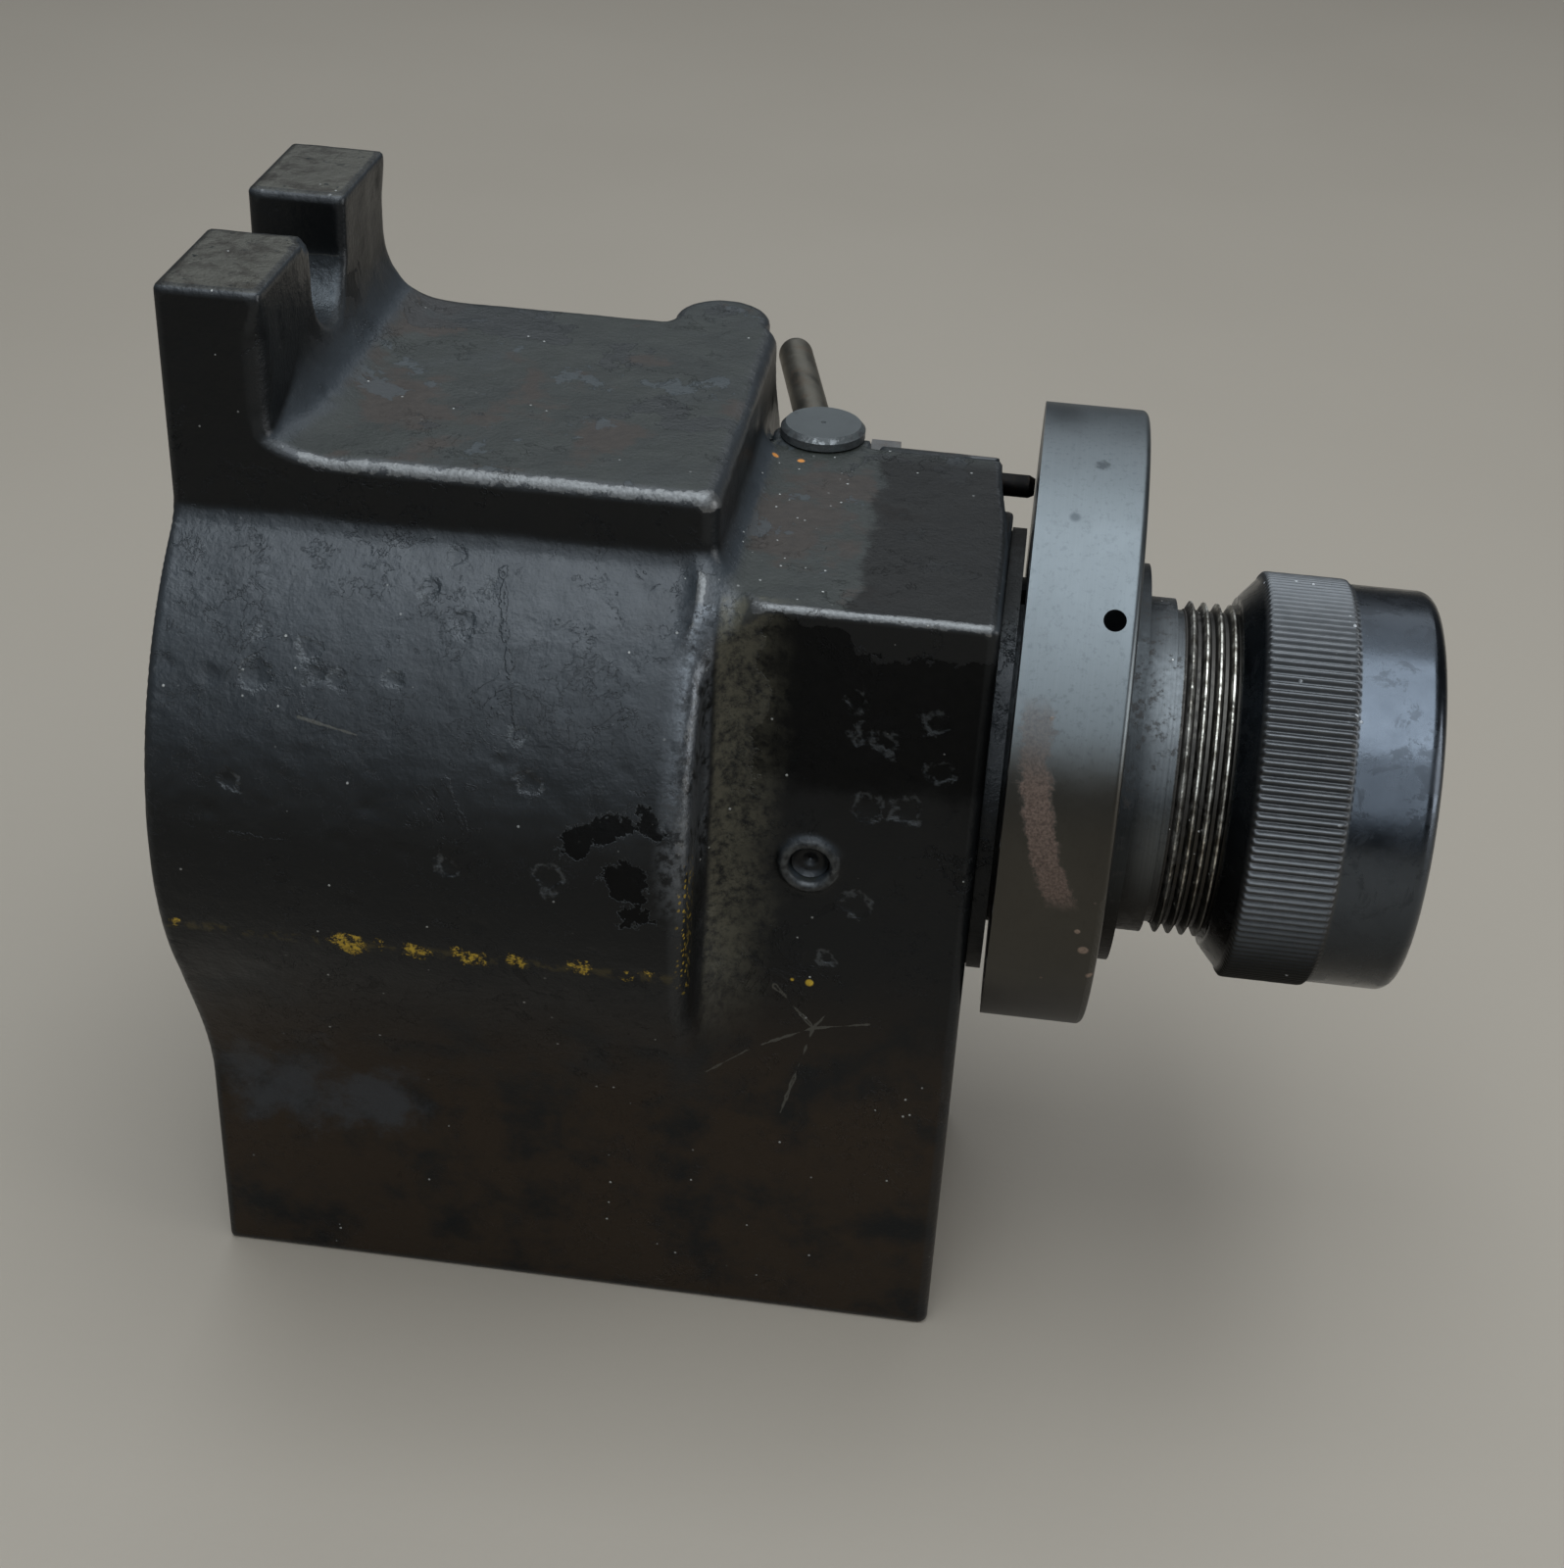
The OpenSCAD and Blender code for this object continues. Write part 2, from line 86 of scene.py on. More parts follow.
RELIEF_Y, RELIEF_DEPTH = (-10, 7, 19, 30), (0, 2.0, 2.8, 3.4)
PLUG_X, PLUG_Z = (PLUG_LO[0] + PLUG_HI[0]) / 2, (PLUG_LO[2] + PLUG_HI[2]) / 2

# How far from its edge a mark on the paint still counts, for the shader to make it ragged
REACH = 5.0

# Chips in the paint, on the barrel and on the block's front: X, Z and radius
BARREL_CHIPS = (
    (-46.4, 123.5, 1.9), (-38.8, 127.2, 1.2), (-37.0, 124.3, 1.3), (-34.3, 123.9, 1.4), (-25.6, 124.7, 1.0),
    (-16.4, 132.2, 1.3), (-3.7, 112.7, 1.5), (-16.2, 98.6, 1.5), (-0.5, 97.5, 1.9), (-49.7, 108.4, 1.0),
    (-45.8, 128.7, 0.8), (-21.5, 135.8, 1.0), (-12.9, 136.4, 1.2), (-19.0, 139.3, 1.1), (-6.2, 119.2, 0.9),
)
BLOCK_CHIPS = (
    (47.6, 117.6, 1.5), (54.6, 121.9, 1.4), (56.0, 113.2, 1.5), (45.7, 106.2, 1.9), (51.1, 106.1, 1.9),
    (44.8, 87.8, 2.0), (41.2, 76.9, 1.0), (42.5, 124.0, 1.2), (43.5, 119.0, 1.0),
)


# ---------------------------------------------------------------- distance fields


def meet(a, b, r=0.0):
    """Intersection of two distance fields, its edge rounded to radius r."""
    u = np.maximum(a + r, 0)
    v = np.maximum(b + r, 0)
    return np.minimum(np.maximum(a, b), -r) + np.hypot(u, v)


def join(a, b, r=0.0):
    """Union of two distance fields, with a concave fillet of radius r."""
    return -meet(-a, -b, r)


def cut(a, hole, r=0.0):
    """The first field with the second taken away, the rim rounded to radius r."""
    return meet(a, -hole, r)


def inside(*limits):
    """Plain intersection of half-space distances."""
    out = limits[0]
    for limit in limits[1:]:
        out = np.maximum(out, limit)
    return out


def ease(v, lo, hi):
    """0 below lo, 1 above hi and smooth between."""
    t = np.clip((v - lo) / (hi - lo), 0, 1)
    return t * t * (3 - 2 * t)


def bearing_bore(x, axis_d):
    """The stepped bore for the bearings and their covers."""
    hole = axis_d - 29.6
    hole = np.minimum(hole, inside(axis_d - 34.5, x - X_LEFT - 9))
    hole = np.minimum(hole, inside(axis_d - 32, x + 31))
    hole = np.minimum(hole, inside(axis_d - 36, 43.5 - x, x - X_RIGHT + 5))
    return np.minimum(hole, inside(axis_d - 36.6, X_RIGHT - 5 - x))


def lever_cuts(x, y, z):
    """Pocket, bores and spot face round the lever and plunger."""
    lever_d = np.hypot(x - LEVER_X, y - LEVER_Y)
    plunger_d = np.hypot(y - PLUNGER_Y, z - PLUNGER_Z)
    hole = inside(22.5 - x, x - 42.2, 13.5 - y, 125.6 - z, z - 136.2)
    hole = np.minimum(hole, inside(42 - x, x - 47, 16.9 - y, 127.1 - z, z - 136.2))
    hole = np.minimum(hole, inside(22.5 - x, x - 39.4, LEVER_Y - y, 132 - z))
    hole = np.minimum(hole, inside(plunger_d - 2.25, 46 - x))
    hole = np.minimum(hole, inside(plunger_d - 3.6, X_RIGHT - 9 - x))
    hole = np.minimum(hole, inside(lever_d - 7.45, 139 - z))
    hole = np.minimum(hole, inside(lever_d - 5.7, 130 - z))
    hole = np.minimum(hole, inside(lever_d - 2.3, 121 - z))
    return np.minimum(hole, inside(np.abs(x - LEVER_X) - 5.1, 15.6 - y, 120.3 - z, z - 122.9))


def housing_field(x, y, z):
    """Signed distance, in millimetres, to the casting's skin."""
    axis_d = np.hypot(y, z - AXIS_Z)
    # Pad and ear, with the big fillet between them
    ear = meet(x - EAR_X, z - EAR_Z, 1.0)
    foot_x = x - EAR_X - EAR_FOOT_R + 3.2 * ease(-y, 16, 32)
    foot = EAR_FOOT_R - np.hypot(foot_x, z - PAD_Z - EAR_FOOT_H)
    foot = inside(foot, foot_x, z - PAD_Z - EAR_FOOT_H)
    top = join(z - PAD_Z, np.minimum(ear, foot), 3.0)
    side_edge = 2.3 + 1.2 * ease(z, 153, 159) - 2.5 * ease(z, 169, 175.5)
    top = meet(top, np.abs(y) - PAD_HALF, side_edge)
    top = np.maximum(top, AXIS_Z - z)
    # Barrel, its sides blended into the pad
    side_r = np.where(y < 0, 1.8, 5.5) * ease(np.abs(y), 22, 28)
    upper = join(axis_d - BARREL_R, top, side_r)
    upper = meet(upper, x - BARREL_END, 2.8)
    # Base and front block
    half = (BASE_REAR - BASE_FRONT) / 2
    slab = np.abs(y - BASE_REAR + half) - half
    base = inside(slab, z - 70)
    block = inside(meet(slab, z - BLOCK_Z, 7.0 - 6.0 * ease(x, 22, 29)), BARREL_END - 0.5 - x)
    body = join(upper, np.minimum(base, block), 12 - 7 * ease(z, 60, 92))
    # Corner lobe, flush with the pad's top
    lobe = np.hypot(x - LOBE_X, y - LOBE_Y) - LOBE_R
    lobe = inside(meet(lobe, z - PAD_Z, 1.8), 110 - z)
    body = join(body, lobe, 3.0)
    body = np.maximum(body, np.where(x > -30, z - PAD_Z, -50))
    # Rear boss, plunger rib and lever boss on the block
    boss = inside(axis_d - BOSS_R, BARREL_END - 1 - x, BASE_FRONT + 1 - y)
    body = join(body, boss, 2.5 * ease(y, 10, 16))
    rib = meet(y - 28.4, z - 137.2, 7.4)
    rib = inside(rib, 12 - y, 100 - z, BARREL_END - 1 - x)
    body = join(body, rib, 1.2 * ease(y, 15, 18))
    lever_boss = np.hypot(x - LEVER_X, y - LEVER_Y) - 8.3
    body = np.minimum(body, inside(meet(lever_boss, z - 139, 0.5), 112 - z))
    # Machined ends and foot
    body = meet(body, x - X_RIGHT, 1.6)
    body = meet(body, X_LEFT - x, 0.9)
    body = meet(body, -z, 0.8)
    # Openings
    body = cut(body, bearing_bore(x, axis_d), 0.4)
    slot = np.hypot(y - SLOT_Y, np.minimum(z - SLOT_Z, 0)) - SLOT_R
    body = cut(body, inside(slot, x + 30), 1.3)
    body = cut(body, lever_cuts(x, y, z), 0.4)
    relief = X_RIGHT - np.interp(y, RELIEF_Y, RELIEF_DEPTH)
    body = cut(body, inside(relief - x, RELIEF_Y[0] - y, 116 - z, 39.5 - axis_d), 0.8)
    plug_d = np.hypot(x - PLUG_X, z - PLUG_Z)
    collar = np.hypot(plug_d - 4.0, y - BASE_FRONT) - 0.95
    body = join(body, collar, 0.8)
    body = cut(body, inside(plug_d - 3.05, y - BASE_FRONT - 12), 0.7)
    for x0 in (-48, 12):
        pocket = inside(x0 - x, x - x0 - 36, BASE_FRONT + 12 - y, y - BASE_REAR + 10, z - 26)
        body = cut(body, pocket, 1.0)
    for x0 in (-54, 54):
        body = cut(body, inside(np.hypot(x - x0, y) - 4.25, z - 16), 0.4)
    # Chips out of the front lug's top, beside the slot
    for px, py, pz, r in ((EAR_X + 0.8, -10.2, EAR_Z, 2.3), (EAR_X + 0.9, -14.5, EAR_Z + 0.4, 1.5)):
        dent = np.sqrt((x - px) ** 2 + (y - py) ** 2 + (z - pz) ** 2) - r
        body = cut(body, dent, 0.3)
    return body


def surface_nets(field, lo, hi, step):
    """Quads round the zero level of a field: one vertex in each cell that the surface crosses."""
    axes = [np.arange(lo[i], hi[i] + step, step, dtype=np.float32) for i in range(3)]
    x, y, z = np.meshgrid(*axes, indexing="ij", sparse=True)
    values = np.concatenate([field(part, y, z) for part in np.array_split(x, 8, axis=0)], axis=0)
    values = values.astype(np.float32)
    solid = values < 0
    count = np.zeros(tuple(n - 1 for n in values.shape), np.uint8)
    corners = [(i, j, k) for i in (0, 1) for j in (0, 1) for k in (0, 1)]
    sizes = count.shape
    for i, j, k in corners:
        count += solid[i : i + sizes[0], j : j + sizes[1], k : k + sizes[2]]
    cells = np.argwhere((count > 0) & (count < 8))
    index = np.full(sizes, -1, np.int32)
    index[tuple(cells.T)] = np.arange(len(cells))
    total = np.zeros((len(cells), 3))
    hits = np.zeros(len(cells))
    for a in corners:
        for axis in range(3):
            if a[axis]:
                continue
            b = tuple(a[n] + (n == axis) for n in range(3))
            fa = values[tuple((cells + a).T)]
            fb = values[tuple((cells + b).T)]
            hit = (fa < 0) != (fb < 0)
            t = np.where(hit, fa / np.where(hit, fa - fb, 1), 0)
            point = np.array(a, float) + t[:, None] * (np.array(b) - np.array(a))
            total += np.where(hit[:, None], point, 0)
            hits += hit
    verts = (cells + total / hits[:, None]) * step + lo
    quads = []
    for axis in range(3):
        u, v = (axis + 1) % 3, (axis + 2) % 3
        first = [slice(1, -1)] * 3
        second = [slice(1, -1)] * 3
        first[axis], second[axis] = slice(0, -1), slice(1, None)
        sa, sb = solid[tuple(first)], solid[tuple(second)]
        edges = np.argwhere(sa != sb)
        shift = np.ones(3, int)
        shift[axis] = 0
        edges = edges + shift
        outward = solid[tuple(edges.T)]
        ring = []
        for du, dv in ((1, 1), (0, 1), (0, 0), (1, 0)):
            cell = edges.copy()
            cell[:, u] -= du
            cell[:, v] -= dv
            ring.append(index[tuple(cell.T)])
        ring = np.stack(ring, 1)
        ring[~outward] = ring[~outward][:, ::-1]
        quads.append(ring)
    return verts, np.concatenate(quads)


def gradient(field, p):
    """Direction of steepest rise of a field at each point."""
    x, y, z = p.T
    h = 0.02
    g = np.stack(
        [
            field(x + h, y, z) - field(x - h, y, z),
            field(x, y + h, z) - field(x, y - h, z),
            field(x, y, z + h) - field(x, y, z - h),
        ],
        1,
    )
    length = np.linalg.norm(g, axis=1, keepdims=True)
    return g / np.maximum(length, 1e-9)


def settle(field, p, step):
    """Points moved onto the zero level along the field's gradient."""
    for _ in range(SETTLE_ROUNDS):
        move = field(*p.T)[:, None] * gradient(field, p)
        p = p - np.clip(move, -0.6 * step, 0.6 * step)
    return p


def bulge(field, p, h):
    """How convex the surface is: above 0 on outer edges, below 0 in fillets."""
    x, y, z = p.T
    around = field(x + h, y, z) + field(x - h, y, z) + field(x, y + h, z)
    around = around + field(x, y - h, z) + field(x, y, z + h) + field(x, y, z - h)
    return around / (h * h)


def fbm(p, size, octaves=3, seed=0.0):
    """Layered noise at points, about -1 to 1, its largest bumps size millimetres across."""
    out = np.empty(len(p))
    shift = Vector((seed, 2 * seed, -seed))
    for i, q in enumerate(p):
        out[i] = noise.fractal(Vector(q) / size + shift, 0.9, 2.1, octaves)
    return out


# ---------------------------------------------------------------- meshes


def make_object(name, verts, faces, body, material, attributes=None):
    """A mesh object from millimetre vertices, riding on a CAD body."""
    mesh = bpy.data.meshes.new(name)
    mesh.from_pydata((np.asarray(verts) * MM).tolist(), [], [list(f) for f in faces])
    mesh.polygons.foreach_set("use_smooth", [True] * len(mesh.polygons))
    for key, data in (attributes or {}).items():
        layer = mesh.attributes.new(key, "FLOAT", "POINT")
        layer.data.foreach_set("value", np.asarray(data, np.float32))
    mesh.materials.append(material)
    mesh.update()
    obj = bpy.data.objects.new(name, mesh)
    bpy.context.scene.collection.objects.link(obj)
    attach(obj, body)
    return obj


def grid_faces(rows, columns):
    """Quads of a grid of vertices whose rows and columns both wrap round."""
    faces = []
    for i in range(rows):
        j = (i + 1) % rows
        for k in range(columns):
            m = (k + 1) % columns
            faces.append((i * columns + k, j * columns + k, j * columns + m, i * columns + m))
    return faces


# ---------------------------------------------------------------- materials

# Noise sizes and the places of single marks are in millimetres. Limits on x, y, z and distances
# read in the shader are in metres, in the part's frame.


class Finish:
    """A material being built; each method adds a node and gives back its output."""

    def __init__(self, name, metallic=0.0, specular=0.5):
        self.material = bpy.data.materials.new(name)
        self.material.use_nodes = True
        self.tree = self.material.node_tree
        self.tree.nodes.clear()
        output = self.tree.nodes.new("ShaderNodeOutputMaterial")
        self.shader = self.tree.nodes.new("ShaderNodeBsdfPrincipled")
        self.tree.links.new(self.shader.outputs[0], output.inputs["Surface"])
        self.shader.inputs["Metallic"].default_value = metallic
        self.shader.inputs["Specular IOR Level"].default_value = specular
        self.place = self.node("ShaderNodeTexCoord").outputs["Object"]
        self.normal = self.node("ShaderNodeNewGeometry").outputs["Normal"]

    def node(self, kind, inputs=(), **settings):
        made = self.tree.nodes.new(kind)
        for key, value in settings.items():
            setattr(made, key, value)
        for key, value in dict(inputs).items():
            self.put(made.inputs[key], value)
        return made

    def put(self, socket, value):
        if isinstance(value, bpy.types.NodeSocket):
            self.tree.links.new(value, socket)
        elif isinstance(value, tuple) and len(value) == 3 and socket.type == "RGBA":
            socket.default_value = (*value, 1)
        else:
            socket.default_value = value

    def math(self, operation, a, b=0.0, c=0.0, clamp=False):
        made = self.node("ShaderNodeMath", {0: a, 1: b, 2: c}, operation=operation, use_clamp=clamp)
        return made.outputs[0]

    def both(self, *values):
        """The product of masks: where all of them apply."""
        out = values[0]
        for value in values[1:]:
            out = self.math("MULTIPLY", out, value)
        return out

    def most(self, *values):
        """The largest of masks: where any of them applies."""
        out = values[0]
        for value in values[1:]:
            out = self.math("MAXIMUM", out, value)
        return out

    def less(self, value):
        return self.math("SUBTRACT", 1.0, value)

    def scaled(self, size, stretch=(1, 1, 1)):
        factor = tuple(1 / (MM * size * s) for s in stretch)
        made = self.node("ShaderNodeVectorMath", {0: self.place, 1: factor}, operation="MULTIPLY")
        return made.outputs[0]

    def noise(self, size, detail=3.0, rough=0.55, warp=0.0, stretch=(1, 1, 1)):
        """Noise about 0 to 1 whose features are size millimetres across."""
        inputs = {
            "Vector": self.scaled(size, stretch),
            "Scale": 1.0,
            "Detail": detail,
            "Roughness": rough,
            "Distortion": warp,
        }
        return self.node("ShaderNodeTexNoise", inputs).outputs[0]

    def cells(self, size):
        """Distance to scattered points, in units of size millimetres, and each cell's colour."""
        inputs = {"Vector": self.scaled(size), "Scale": 1.0}
        made = self.node("ShaderNodeTexVoronoi", inputs)
        return made.outputs["Distance"], made.outputs["Color"]

    def step(self, value, lo, hi, out_lo=0.0, out_hi=1.0):
        """Smooth passage from out_lo at lo to out_hi at hi; lo may be the larger one."""
        inputs = {0: value, 1: lo, 2: hi, 3: out_lo, 4: out_hi}
        made = self.node("ShaderNodeMapRange", inputs, interpolation_type="SMOOTHSTEP")
        return made.outputs[0]

    def mix(self, factor, a, b):
        made = self.node("ShaderNodeMix", data_type="RGBA", clamp_factor=True)
        self.put(made.inputs[0], factor)
        self.put(made.inputs[6], a)
        self.put(made.inputs[7], b)
        return made.outputs[2]

    def blend(self, factor, a, b):
        made = self.node("ShaderNodeMix", data_type="FLOAT", clamp_factor=True)
        self.put(made.inputs[0], factor)
        self.put(made.inputs[2], a)
        self.put(made.inputs[3], b)
        return made.outputs[0]

    def split(self, vector):
        made = self.node("ShaderNodeSeparateXYZ", {0: vector})
        return made.outputs[0], made.outputs[1], made.outputs[2]

    def near(self, point, radius, soft, warp=None):
        """1 within radius of a point given in millimetres, 0 beyond radius plus soft."""
        centre = tuple(v * MM for v in point)
        made = self.node("ShaderNodeVectorMath", {0: self.place, 1: centre}, operation="DISTANCE")
        distance = self.math("MULTIPLY", made.outputs["Value"], 1 / MM)
        if warp is not None:
            distance = self.math("ADD", distance, warp)
        return self.step(distance, radius, radius + soft, 1.0, 0.0)

    def speckle(self, size, radius, share):
        """Small round specks: radius in parts of size, on a share of the cells."""
        distance, colour = self.cells(size)
        chosen = self.math("LESS_THAN", self.split(colour)[0], share)
        return self.both(self.step(distance, radius * 0.7, radius, 1.0, 0.0), chosen)

    def stroke(self, a, b, width, warp):
        """A thin line on the front, from a to b, each given as X and Z in millimetres."""
        x, y, z = self.split(self.place)
        dx, dz = (b[0] - a[0]) * MM, (b[1] - a[1]) * MM
        square = dx * dx + dz * dz
        rx = self.math("SUBTRACT", x, a[0] * MM)
        rz = self.math("SUBTRACT", z, a[1] * MM)
        t = self.math("ADD", self.both(rx, dx / square), self.both(rz, dz / square), clamp=True)
        ex = self.math("SUBTRACT", rx, self.both(t, dx))
        ez = self.math("SUBTRACT", rz, self.both(t, dz))
        distance = self.math("SQRT", self.math("ADD", self.both(ex, ex), self.both(ez, ez)))
        distance = self.math("ABSOLUTE", self.math("ADD", distance, warp))
        line = self.step(distance, width * 0.4 * MM, width * MM, 1.0, 0.0)
        return self.both(line, self.step(y, -0.035, -0.036))

    def value(self, name):
        return self.node("ShaderNodeAttribute", attribute_name=name).outputs["Fac"]

    def finish(self, colour, roughness, height=None, depth=0.1, metallic=None):
        """Links the shader; height runs 0 to 1 over depth millimetres."""
        self.put(self.shader.inputs["Base Color"], colour)
        self.put(self.shader.inputs["Roughness"], roughness)
        if metallic is not None:
            self.put(self.shader.inputs["Metallic"], metallic)
        if height is not None:
            bump = self.node("ShaderNodeBump", {"Height": height, "Distance": depth * MM})
            self.put(self.shader.inputs["Normal"], bump.outputs[0])
        return self.material


def chip_places():
    """Centre and radius of every paint chip, on the casting's nominal surface."""
    places = [((x, -math.sqrt(BARREL_R**2 - (z - AXIS_Z) ** 2), z), r) for x, z, r in BARREL_CHIPS]
    return places + [((x, BASE_FRONT, z), r) for x, z, r in BLOCK_CHIPS]


def dab_places():
    """Centre and radius of every dab of yellow paint, along the line where the barrel meets the base."""
    dabs = ((-60, 0.2), (-33.6, 1.2), (-31.8, 1.5), (-27.5, 0.2), (-22.3, 0.8), (-20.6, 0.4), (-15.4, 0.5))
    dabs += ((-13.2, 1.0), (-11.8, 0.6), (-6.4, 0.9), (-4.9, 0.3), (3.4, 0.5), (4.6, 0.9))
    dabs += ((11.3, 0.2), (14.5, 0.2))
    return [((x, -56.0, 80.6 + 0.7 * math.sin(2.3 * i)), radius) for i, (x, radius) in enumerate(dabs)]


def black_paint():
    """Old semi-gloss black enamel on a casting: flaked, stained, and dusty on top, with a painted highlight
    on upward-facing faces and painted shade on sideways ones.
    """
    m = Finish("black_paint", specular=0.42)
    x, y, z = m.split(m.place)
    up = m.split(m.normal)[2]
    edge = m.value("edge")
    broad = m.noise(26, 4, 0.6)
    fine = m.noise(1.6, 3, 0.6)
    grit = m.noise(0.5, 2, 0.5)
    ragged = m.math("SUBTRACT", m.noise(2.4, 5, 0.7), 0.5)
    wander = m.math("SUBTRACT", m.noise(7, 6, 0.68), 0.5)
    top = m.step(up, 0.8, 0.97)
    colour = m.mix(broad, (0.0036, 0.0042, 0.0048), (0.0085, 0.0092, 0.0095))
    # Painted highlight: upward-facing paint made lighter and bluish, standing in for the sheen of the light
    # from above
    painted_sheen = m.both(m.step(up, 0.05, 0.72), m.step(m.noise(8, 4, 0.6), 0.2, 0.6, 0.7, 1.0))
    colour = m.mix(painted_sheen, colour, (0.030, 0.0355, 0.040))
    # Painted shade: sideways faces, more so further down, are made partly metallic over the dark base
    # colour, which darkens their reflection
    side_shade = m.step(up, 0.42, 0.02)
    rough = m.step(m.noise(12, 5, 0.65), 0.3, 0.7, 0.31, 0.43)
    rough = m.blend(m.both(top, 0.7), rough, 0.54)
    height = m.math("ADD", m.both(m.noise(2.3, 3, 0.55), 0.36), m.both(m.noise(0.8, 3, 0.6), 0.30))
    height = m.math("ADD", height, m.both(m.noise(6.5, 4, 0.55), 0.20))
    height = m.math("ADD", height, m.both(grit, top, 0.22))
    # Map-like flakes where the top coat has lifted
    flake = m.both(m.step(m.noise(17, 6, 0.62, 0.8), 0.640, 0.647), m.step(up, 0.45, 0.25), 0.5)
    jagged = m.both(wander, 14.0)
    spots = ((8.7, -56.3, 106.5, 2.6), (10.5, -57.4, 99.6, 3.4), (3.4, -56.7, 104.7, 2.2))
    spots += ((14.5, -55.6, 109.4, 1.4),)
    lifted = m.near((11.8, -57.5, 92.0), 1.8, 0.4, jagged)
    for px, py, pz, size in spots:
        lifted = m.most(lifted, m.near((px, py, pz), size, 0.4, jagged))
    flake = m.most(flake, lifted)
    shifted_x = m.math("MULTIPLY_ADD", wander, 0.010, x)
    shifted_z = m.math("MULTIPLY_ADD", wander, 0.012, z)
    limit = m.step(x, 0.040, 0.0425, 0.1368, 0.1325)
    window = m.step(m.math("SUBTRACT", limit, shifted_z), 0.0, 0.0003)
    window = m.both(window, m.step(shifted_x, 0.0280, 0.0284), m.step(shifted_z, 0.100, 0.112))
    window = m.both(window, m.step(y, -0.0385, -0.0395))
    flake = m.most(flake, window)
    primer = m.mix(fine, (0.0020, 0.0020, 0.0019), (0.0075, 0.0070, 0.0062))
    colour = m.mix(m.both(flake, 0.85), colour, primer)
    colour = m.mix(m.both(lifted, m.less(lifted), 2.4), colour, (0.060, 0.066, 0.068))
    rough = m.blend(m.both(flake, 0.8), rough, 0.72)
    height = m.math("SUBTRACT", height, m.both(flake, 0.45))
    relief = m.step(m.noise(6.5, 7, 0.70, 0.2), 0.545, 0.560)
    relief = m.both(relief, m.step(m.noise(15, 3, 0.5), 0.46, 0.54))
    relief = m.both(relief, m.step(up, 0.93, 0.85), m.step(z, 0.152, 0.148))
    height = m.math("SUBTRACT", height, m.both(relief, 0.26))
    wavy = m.both(m.math("SUBTRACT", m.noise(4.0, 5, 0.7), 0.5), 0.0042)
    seams = None
    seam_ends = (((-11.2, 138.0), (-6.2, 119.0)), ((-16.4, 112.0), (-13.0, 104.5)))
    for a, b in seam_ends + (((-49.9, 99.7), (-40.2, 99.4)),):
        seam = m.stroke(a, b, 0.45, wavy)
        seams = seam if seams is None else m.most(seams, seam)
    crack = m.math("ABSOLUTE", m.math("SUBTRACT", m.noise(9, 5, 0.66, 0.5), 0.5))
    crack = m.both(m.step(crack, 0.004, 0.012, 1.0, 0.0), m.step(m.noise(17, 3), 0.555, 0.60))
    crack = m.both(crack, m.step(z, 0.160, 0.155))
    height = m.math("ADD", height, m.both(m.most(crack, seams), 0.45))
    # Top faces carry an olive film of old oil and dust, with brown, bluish and dark patches
    olive = m.mix(m.noise(9, 4, 0.65), (0.0065, 0.0085, 0.0078), (0.029, 0.032, 0.026))
    colour = m.mix(m.both(top, m.step(broad, 0.25, 0.5, 0.6, 1.0)), colour, olive)
    brown = m.both(top, m.step(m.noise(24, 6, 0.60, 0.1), 0.52, 0.58))
    colour = m.mix(m.both(brown, 0.92), colour, m.mix(fine, (0.016, 0.012, 0.009), (0.046, 0.035, 0.027)))
    rough = m.blend(brown, rough, 0.62)
    blue = m.both(top, m.step(m.noise(14, 7, 0.66, 0.1), 0.59, 0.60))
    colour = m.mix(m.both(blue, 0.6), colour, (0.042, 0.050, 0.054))
    height = m.math("ADD", height, m.both(blue, 0.20))
    pool = m.both(top, m.step(m.noise(21, 7, 0.60, 0.15), 0.412, 0.404))
    colour = m.mix(m.both(pool, 0.7), colour, (0.0105, 0.0118, 0.0120))
    rough = m.blend(m.both(pool, 0.7), rough, 0.36)
    height = m.math("SUBTRACT", height, m.both(pool, 0.22))
    right = m.both(top, m.step(shifted_x, 0.0400, 0.0420), m.step(z, 0.1420, 0.1400))
    right = m.both(right, m.step(y, 0.0200, 0.0120))
    film = m.mix(fine, (0.0060, 0.0055, 0.0050), (0.0140, 0.0125, 0.0105))
    colour = m.mix(m.both(right, 0.85), colour, film)
    height = m.math("SUBTRACT", height, m.both(right, 0.22))
    # Faint brown drag marks low down and dirt in the corner between barrel and block
    low = m.both(m.step(z, 0.080, 0.04), m.step(m.noise(14, 5, 0.65), 0.32, 0.56))
    colour = m.mix(m.both(low, 0.85), colour, (0.030, 0.0185, 0.0095))
    rough = m.blend(m.both(low, 0.5), rough, 0.62)
    corner = m.both(m.step(x, 0.0212, 0.0222), m.step(shifted_x, 0.0340, 0.0240), m.step(z, 0.055, 0.085))
    corner = m.both(corner, m.step(y, -0.0370, -0.0385), m.step(m.noise(2, 5, 0.75), 0.30, 0.60))
    colour = m.mix(m.both(corner, 0.9), colour, (0.085, 0.080, 0.058))
